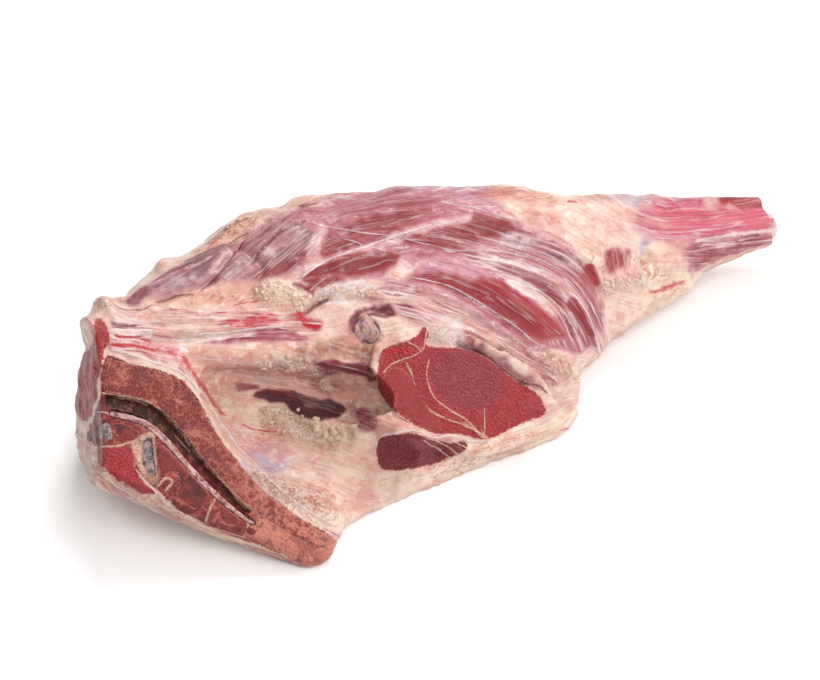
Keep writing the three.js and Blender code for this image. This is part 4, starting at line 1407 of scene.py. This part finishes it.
class LEG_OT_flesh(bpy.types.Operator):
    """Makes the flesh and fat of the leg"""

    bl_idname = "leg.flesh"
    bl_label = "Flesh"

    def execute(self, context):
        sizes, colours = context.scene.leg_sizes, context.scene.leg_colours
        piece = filled_flesh()
        rebuild(piece, sizes.skin_cell)
        thin_far_side(piece, FLESH_TRIANGLES)
        points, normals = rows_of(piece)
        at = in_view(points)
        seen = seen_share(piece, points, normals)

        fat, flesh, film, streaks, grain = painted_layers(at, points, seen, colours)
        steady = steady_grain(piece, grain, at)
        edge, cut, bony = painted_cuts(at, seen, colours)
        marks = {name: line_marks(at, seen, lines) for name, lines in LINES.items()}
        lumps = band_share(at, seen, LUMPY)
        veins = band_share(at, seen, VEINED)

        # the flesh swells and folds, but not beside the bones that are let into it
        bones = tree_of(*BONES, *CARTILAGES, "spinal_cord", "aitch_cartilage", "shank_bone")
        clear = np.array([bones.find_nearest(Vector(p))[3] for p in points])
        free = ease(0.0006, 0.006, clear)
        sunk = ease(0.0004, 0.0018, let_in_depth(points)) * -UNDER_BONE
        swell = sizes.belly * (0.9 - film) + sizes.belly * 0.6 * ease(1, -9, edge)
        uneven = field(points, 0.03, 21) * 0.0014 + field(points, 0.012, 22, 2) * 0.0013 * film
        knobbly = lumps * sizes.lump * (0.4 + 1.1 * np.clip(field(points, 0.0075, 23, 2) + 0.3, 0, 1))
        on_pale, on_dark = (ease(1.5, -0.5, marks[name][:, 0]) for name in ("pale", "dark"))
        strands = sizes.ridge * (on_pale - 0.7 * on_dark)
        lift = (swell + uneven + knobbly + strands + painted_relief(at, seen)) * free + sunk
        move_rows(piece, points + normals * lift[:, None] + pulled(at) * free[:, None])

        for name, rows in (("fat_tint", fat), ("flesh_tint", flesh), ("cut_tint", cut)):
            note(piece, name, np.hstack([rows, np.ones((len(rows), 1))]))
        note(piece, "film", np.stack([film, streaks, veins], 1))
        note(piece, "cut", np.stack([edge, bony, steady], 1))
        note(piece, "grain", np.hstack([grain, lumps[:, None]]))
        for name, rows in marks.items():
            note(piece, name, rows)
        hold(piece, flesh_finish(colours), "meat", "meat")
        return {"FINISHED"}


class LEG_OT_crumbs(bpy.types.Operator):
    """Makes the loose crumbs of fat that lie on the flesh"""

    bl_idname = "leg.crumbs"
    bl_label = "Fat crumbs"

    def execute(self, context):
        tree = tree_on(bpy.data.objects["flesh"])
        dice = random.Random(7)
        shape = bmesh.new()
        for count, scatter, size, line in CRUMBS:
            line = smooth_line(line)
            for _ in range(count):
                spot = line[dice.randrange(len(line))]
                start, way = view_ray(*(value + dice.gauss(0, scatter / 2) for value in spot))
                place, normal, _, _ = tree.ray_cast(start, way)
                if place is None:
                    continue
                radius = size / 2000 * dice.uniform(0.55, 1.25)
                sizes = (radius, radius * dice.uniform(0.55, 1), radius * dice.uniform(0.25, 0.45))
                turn = normal.to_track_quat("Z", "Y").to_matrix().to_4x4()
                spin = Matrix.Rotation(dice.uniform(0, math.tau), 4, "Z")
                lie = Matrix.Translation(place - normal * radius * 0.05) @ turn @ spin @ Matrix.Diagonal((*sizes, 1))
                flake = bmesh.ops.create_icosphere(shape, subdivisions=2, radius=1)["verts"]
                shift = Vector((dice.uniform(0, 50), dice.uniform(0, 50), dice.uniform(0, 50)))
                for point in flake:
                    point.co *= 1 + 0.6 * noise.noise(point.co * 1.5 + shift)
                bmesh.ops.transform(shape, matrix=lie, verts=flake)
        hold(as_piece("fat_crumbs", shape), crumb_finish(context.scene.leg_colours), "meat")
        return {"FINISHED"}


class LEG_OT_bones(bpy.types.Operator):
    """Makes the sawn bones of the spine and the aitch bone"""

    bl_idname = "leg.bones"
    bl_label = "Sawn bones"

    def execute(self, context):
        sizes, c = context.scene.leg_sizes, context.scene.leg_colours
        warm = bone_finish("sawn_sacrum", c.marrow_warm, c.marrow_pale, c.maroon_and_shade, c.bone_rim, 0.2)
        red = bone_finish("sawn_spine", c.marrow, c.marrow_warm, c.wine_and_shade, c.marrow_pale, 0.4)
        boss = bone_finish("sawn_aitch", c.crimson, c.crimson, c.marrow, c.marrow_pale, 0.3)
        for node in BONES:
            finish = {"sacrum": warm, "aitch_bone": boss}.get(node, red)
            hold(sawn_piece(node, sizes.bone_cell), finish, "bone", node)
        return {"FINISHED"}


class LEG_OT_gristle(bpy.types.Operator):
    """Makes the grey cartilages"""

    bl_idname = "leg.gristle"
    bl_label = "Cartilages"

    def execute(self, context):
        sizes, colours = context.scene.leg_sizes, context.scene.leg_colours
        finish = gristle_finish("gristle", colours.gristle, colours.grey, colours.canal)
        for node in CARTILAGES:
            hold(sawn_piece(node, sizes.bone_cell), finish, "cartilage", node)
        knob = sawn_piece("aitch_cartilage", sizes.bone_cell, proud=0, wave=0)
        points, normals = rows_of(knob)
        lumps = field(points, 0.0075, 31, 3) * 0.003 - 0.0003
        move_rows(knob, points + normals * lumps[:, None])
        finish = gristle_finish("knob_gristle", colours.beige, colours.lilac, colours.veiled)
        hold(knob, finish, "cartilage", "aitch_cartilage")
        return {"FINISHED"}


class LEG_OT_cord(bpy.types.Operator):
    """Makes the spinal cord in its canal"""

    bl_idname = "leg.cord"
    bl_label = "Spinal cord"

    def execute(self, context):
        sizes, colours = context.scene.leg_sizes, context.scene.leg_colours
        piece = sawn_piece("spinal_cord", sizes.bone_cell, proud=0, wave=0.0024, swell=-0.0003)
        hold(piece, gristle_finish("cord", colours.cord, colours.membrane, colours.brick), "cord", "spinal_cord")
        return {"FINISHED"}


class LEG_OT_shank_bone(bpy.types.Operator):
    """Makes the end of the shank bone"""

    bl_idname = "leg.shank_bone"
    bl_label = "Shank bone"

    def execute(self, context):
        sizes, c = context.scene.leg_sizes, context.scene.leg_colours
        piece = sawn_piece("shank_bone", sizes.bone_cell, proud=0, wave=0)
        finish = bone_finish("shank_bone", c.magenta, c.membrane, c.crimson, c.white, 0.3)
        hold(piece, finish, "bone", "shank_bone")
        return {"FINISHED"}


class LEG_OT_stage(bpy.types.Operator):
    """Sets the floor, the lights and the camera"""

    bl_idname = "leg.stage"
    bl_label = "Stage"

    def execute(self, context):
        stage = context.scene.leg_stage
        shape = bmesh.new()
        bmesh.ops.create_grid(shape, x_segments=1, y_segments=1, size=stage.floor_size / 2)
        bmesh.ops.translate(shape, verts=shape.verts, vec=(0, 0, FLOOR_HEIGHT))
        floor = as_piece("floor", shape)
        f = Finish("floor")
        shade = tuple(value * 0.98 for value in stage.floor_colour)
        tone = f.mix(f.noise(0.4, 2, 0.5) * 0.3, stage.floor_colour, shade)
        floor.data.materials.append(f.shade(base_color=tone, roughness=0.9, specular_ior_level=0.1))

        world = bpy.data.worlds.new("light_all_round")
        world.use_nodes = True
        world.node_tree.nodes["Background"].inputs["Color"].default_value = (1, 1, 1, 1)
        world.node_tree.nodes["Background"].inputs["Strength"].default_value = stage.fill
        world.cycles_visibility.glossy = False
        context.scene.world = world
        for name, place, size, power, glossy in LIGHTS:
            light = bpy.data.lights.new(name, "AREA")
            light.size = size
            light.energy = stage.key * power
            lamp = bpy.data.objects.new(name, light)
            lamp.location = place
            lamp.visible_glossy = glossy
            lamp.rotation_euler = (LIGHT_AIM - Vector(place)).to_track_quat("-Z", "Y").to_euler()
            context.scene.collection.objects.link(lamp)

        right, up, back = view_axes()
        camera = bpy.data.cameras.new("camera")
        camera.lens = VIEW_FOCUS / VIEW_WIDTH * SENSOR
        camera.sensor_width = SENSOR
        camera.clip_start, camera.clip_end = 0.05, 50
        held = bpy.data.objects.new("camera", camera)
        turn = Matrix((right, up, back)).transposed().to_4x4()
        held.matrix_world = Matrix.Translation(VIEW_AIM + back * VIEW_DISTANCE) @ turn
        context.scene.collection.objects.link(held)
        context.scene.camera = held
        context.scene.view_settings.view_transform = "Standard"
        return {"FINISHED"}


class LEG_PT_panel(bpy.types.Panel):
    """Lists the pieces of the leg with their sizes and colours"""

    bl_idname = "LEG_PT_panel"
    bl_label = "Leg of lamb"
    bl_space_type = "VIEW_3D"
    bl_region_type = "UI"
    bl_category = "Leg of lamb"

    def draw(self, context):
        for operator in OPERATORS:
            self.layout.operator(operator.bl_idname)
        for name in SETTINGS:
            box = self.layout.box()
            settings = getattr(context.scene, name)
            for key in settings.bl_rna.properties.keys():
                if key not in ("rna_type", "name"):
                    box.prop(settings, key)


OPERATORS = (
    LEG_OT_flesh, LEG_OT_crumbs, LEG_OT_bones, LEG_OT_gristle, LEG_OT_cord, LEG_OT_shank_bone, LEG_OT_stage,
)
SETTINGS = {"leg_sizes": LegSizes, "leg_colours": LegColours, "leg_stage": LegStage}


def register():
    for kind in (*SETTINGS.values(), *OPERATORS, LEG_PT_panel):
        bpy.utils.register_class(kind)
    for name, kind in SETTINGS.items():
        setattr(bpy.types.Scene, name, PointerProperty(type=kind))


def unregister():
    for name in SETTINGS:
        delattr(bpy.types.Scene, name)
    for kind in (LEG_PT_panel, *reversed(OPERATORS), *reversed(SETTINGS.values())):
        bpy.utils.unregister_class(kind)


def main():
    register()
    bpy.ops.leg.flesh()
    bpy.ops.leg.crumbs()
    bpy.ops.leg.bones()
    bpy.ops.leg.gristle()
    bpy.ops.leg.cord()
    bpy.ops.leg.shank_bone()
    bpy.ops.leg.stage()


if __name__ == "__main__":
    main()
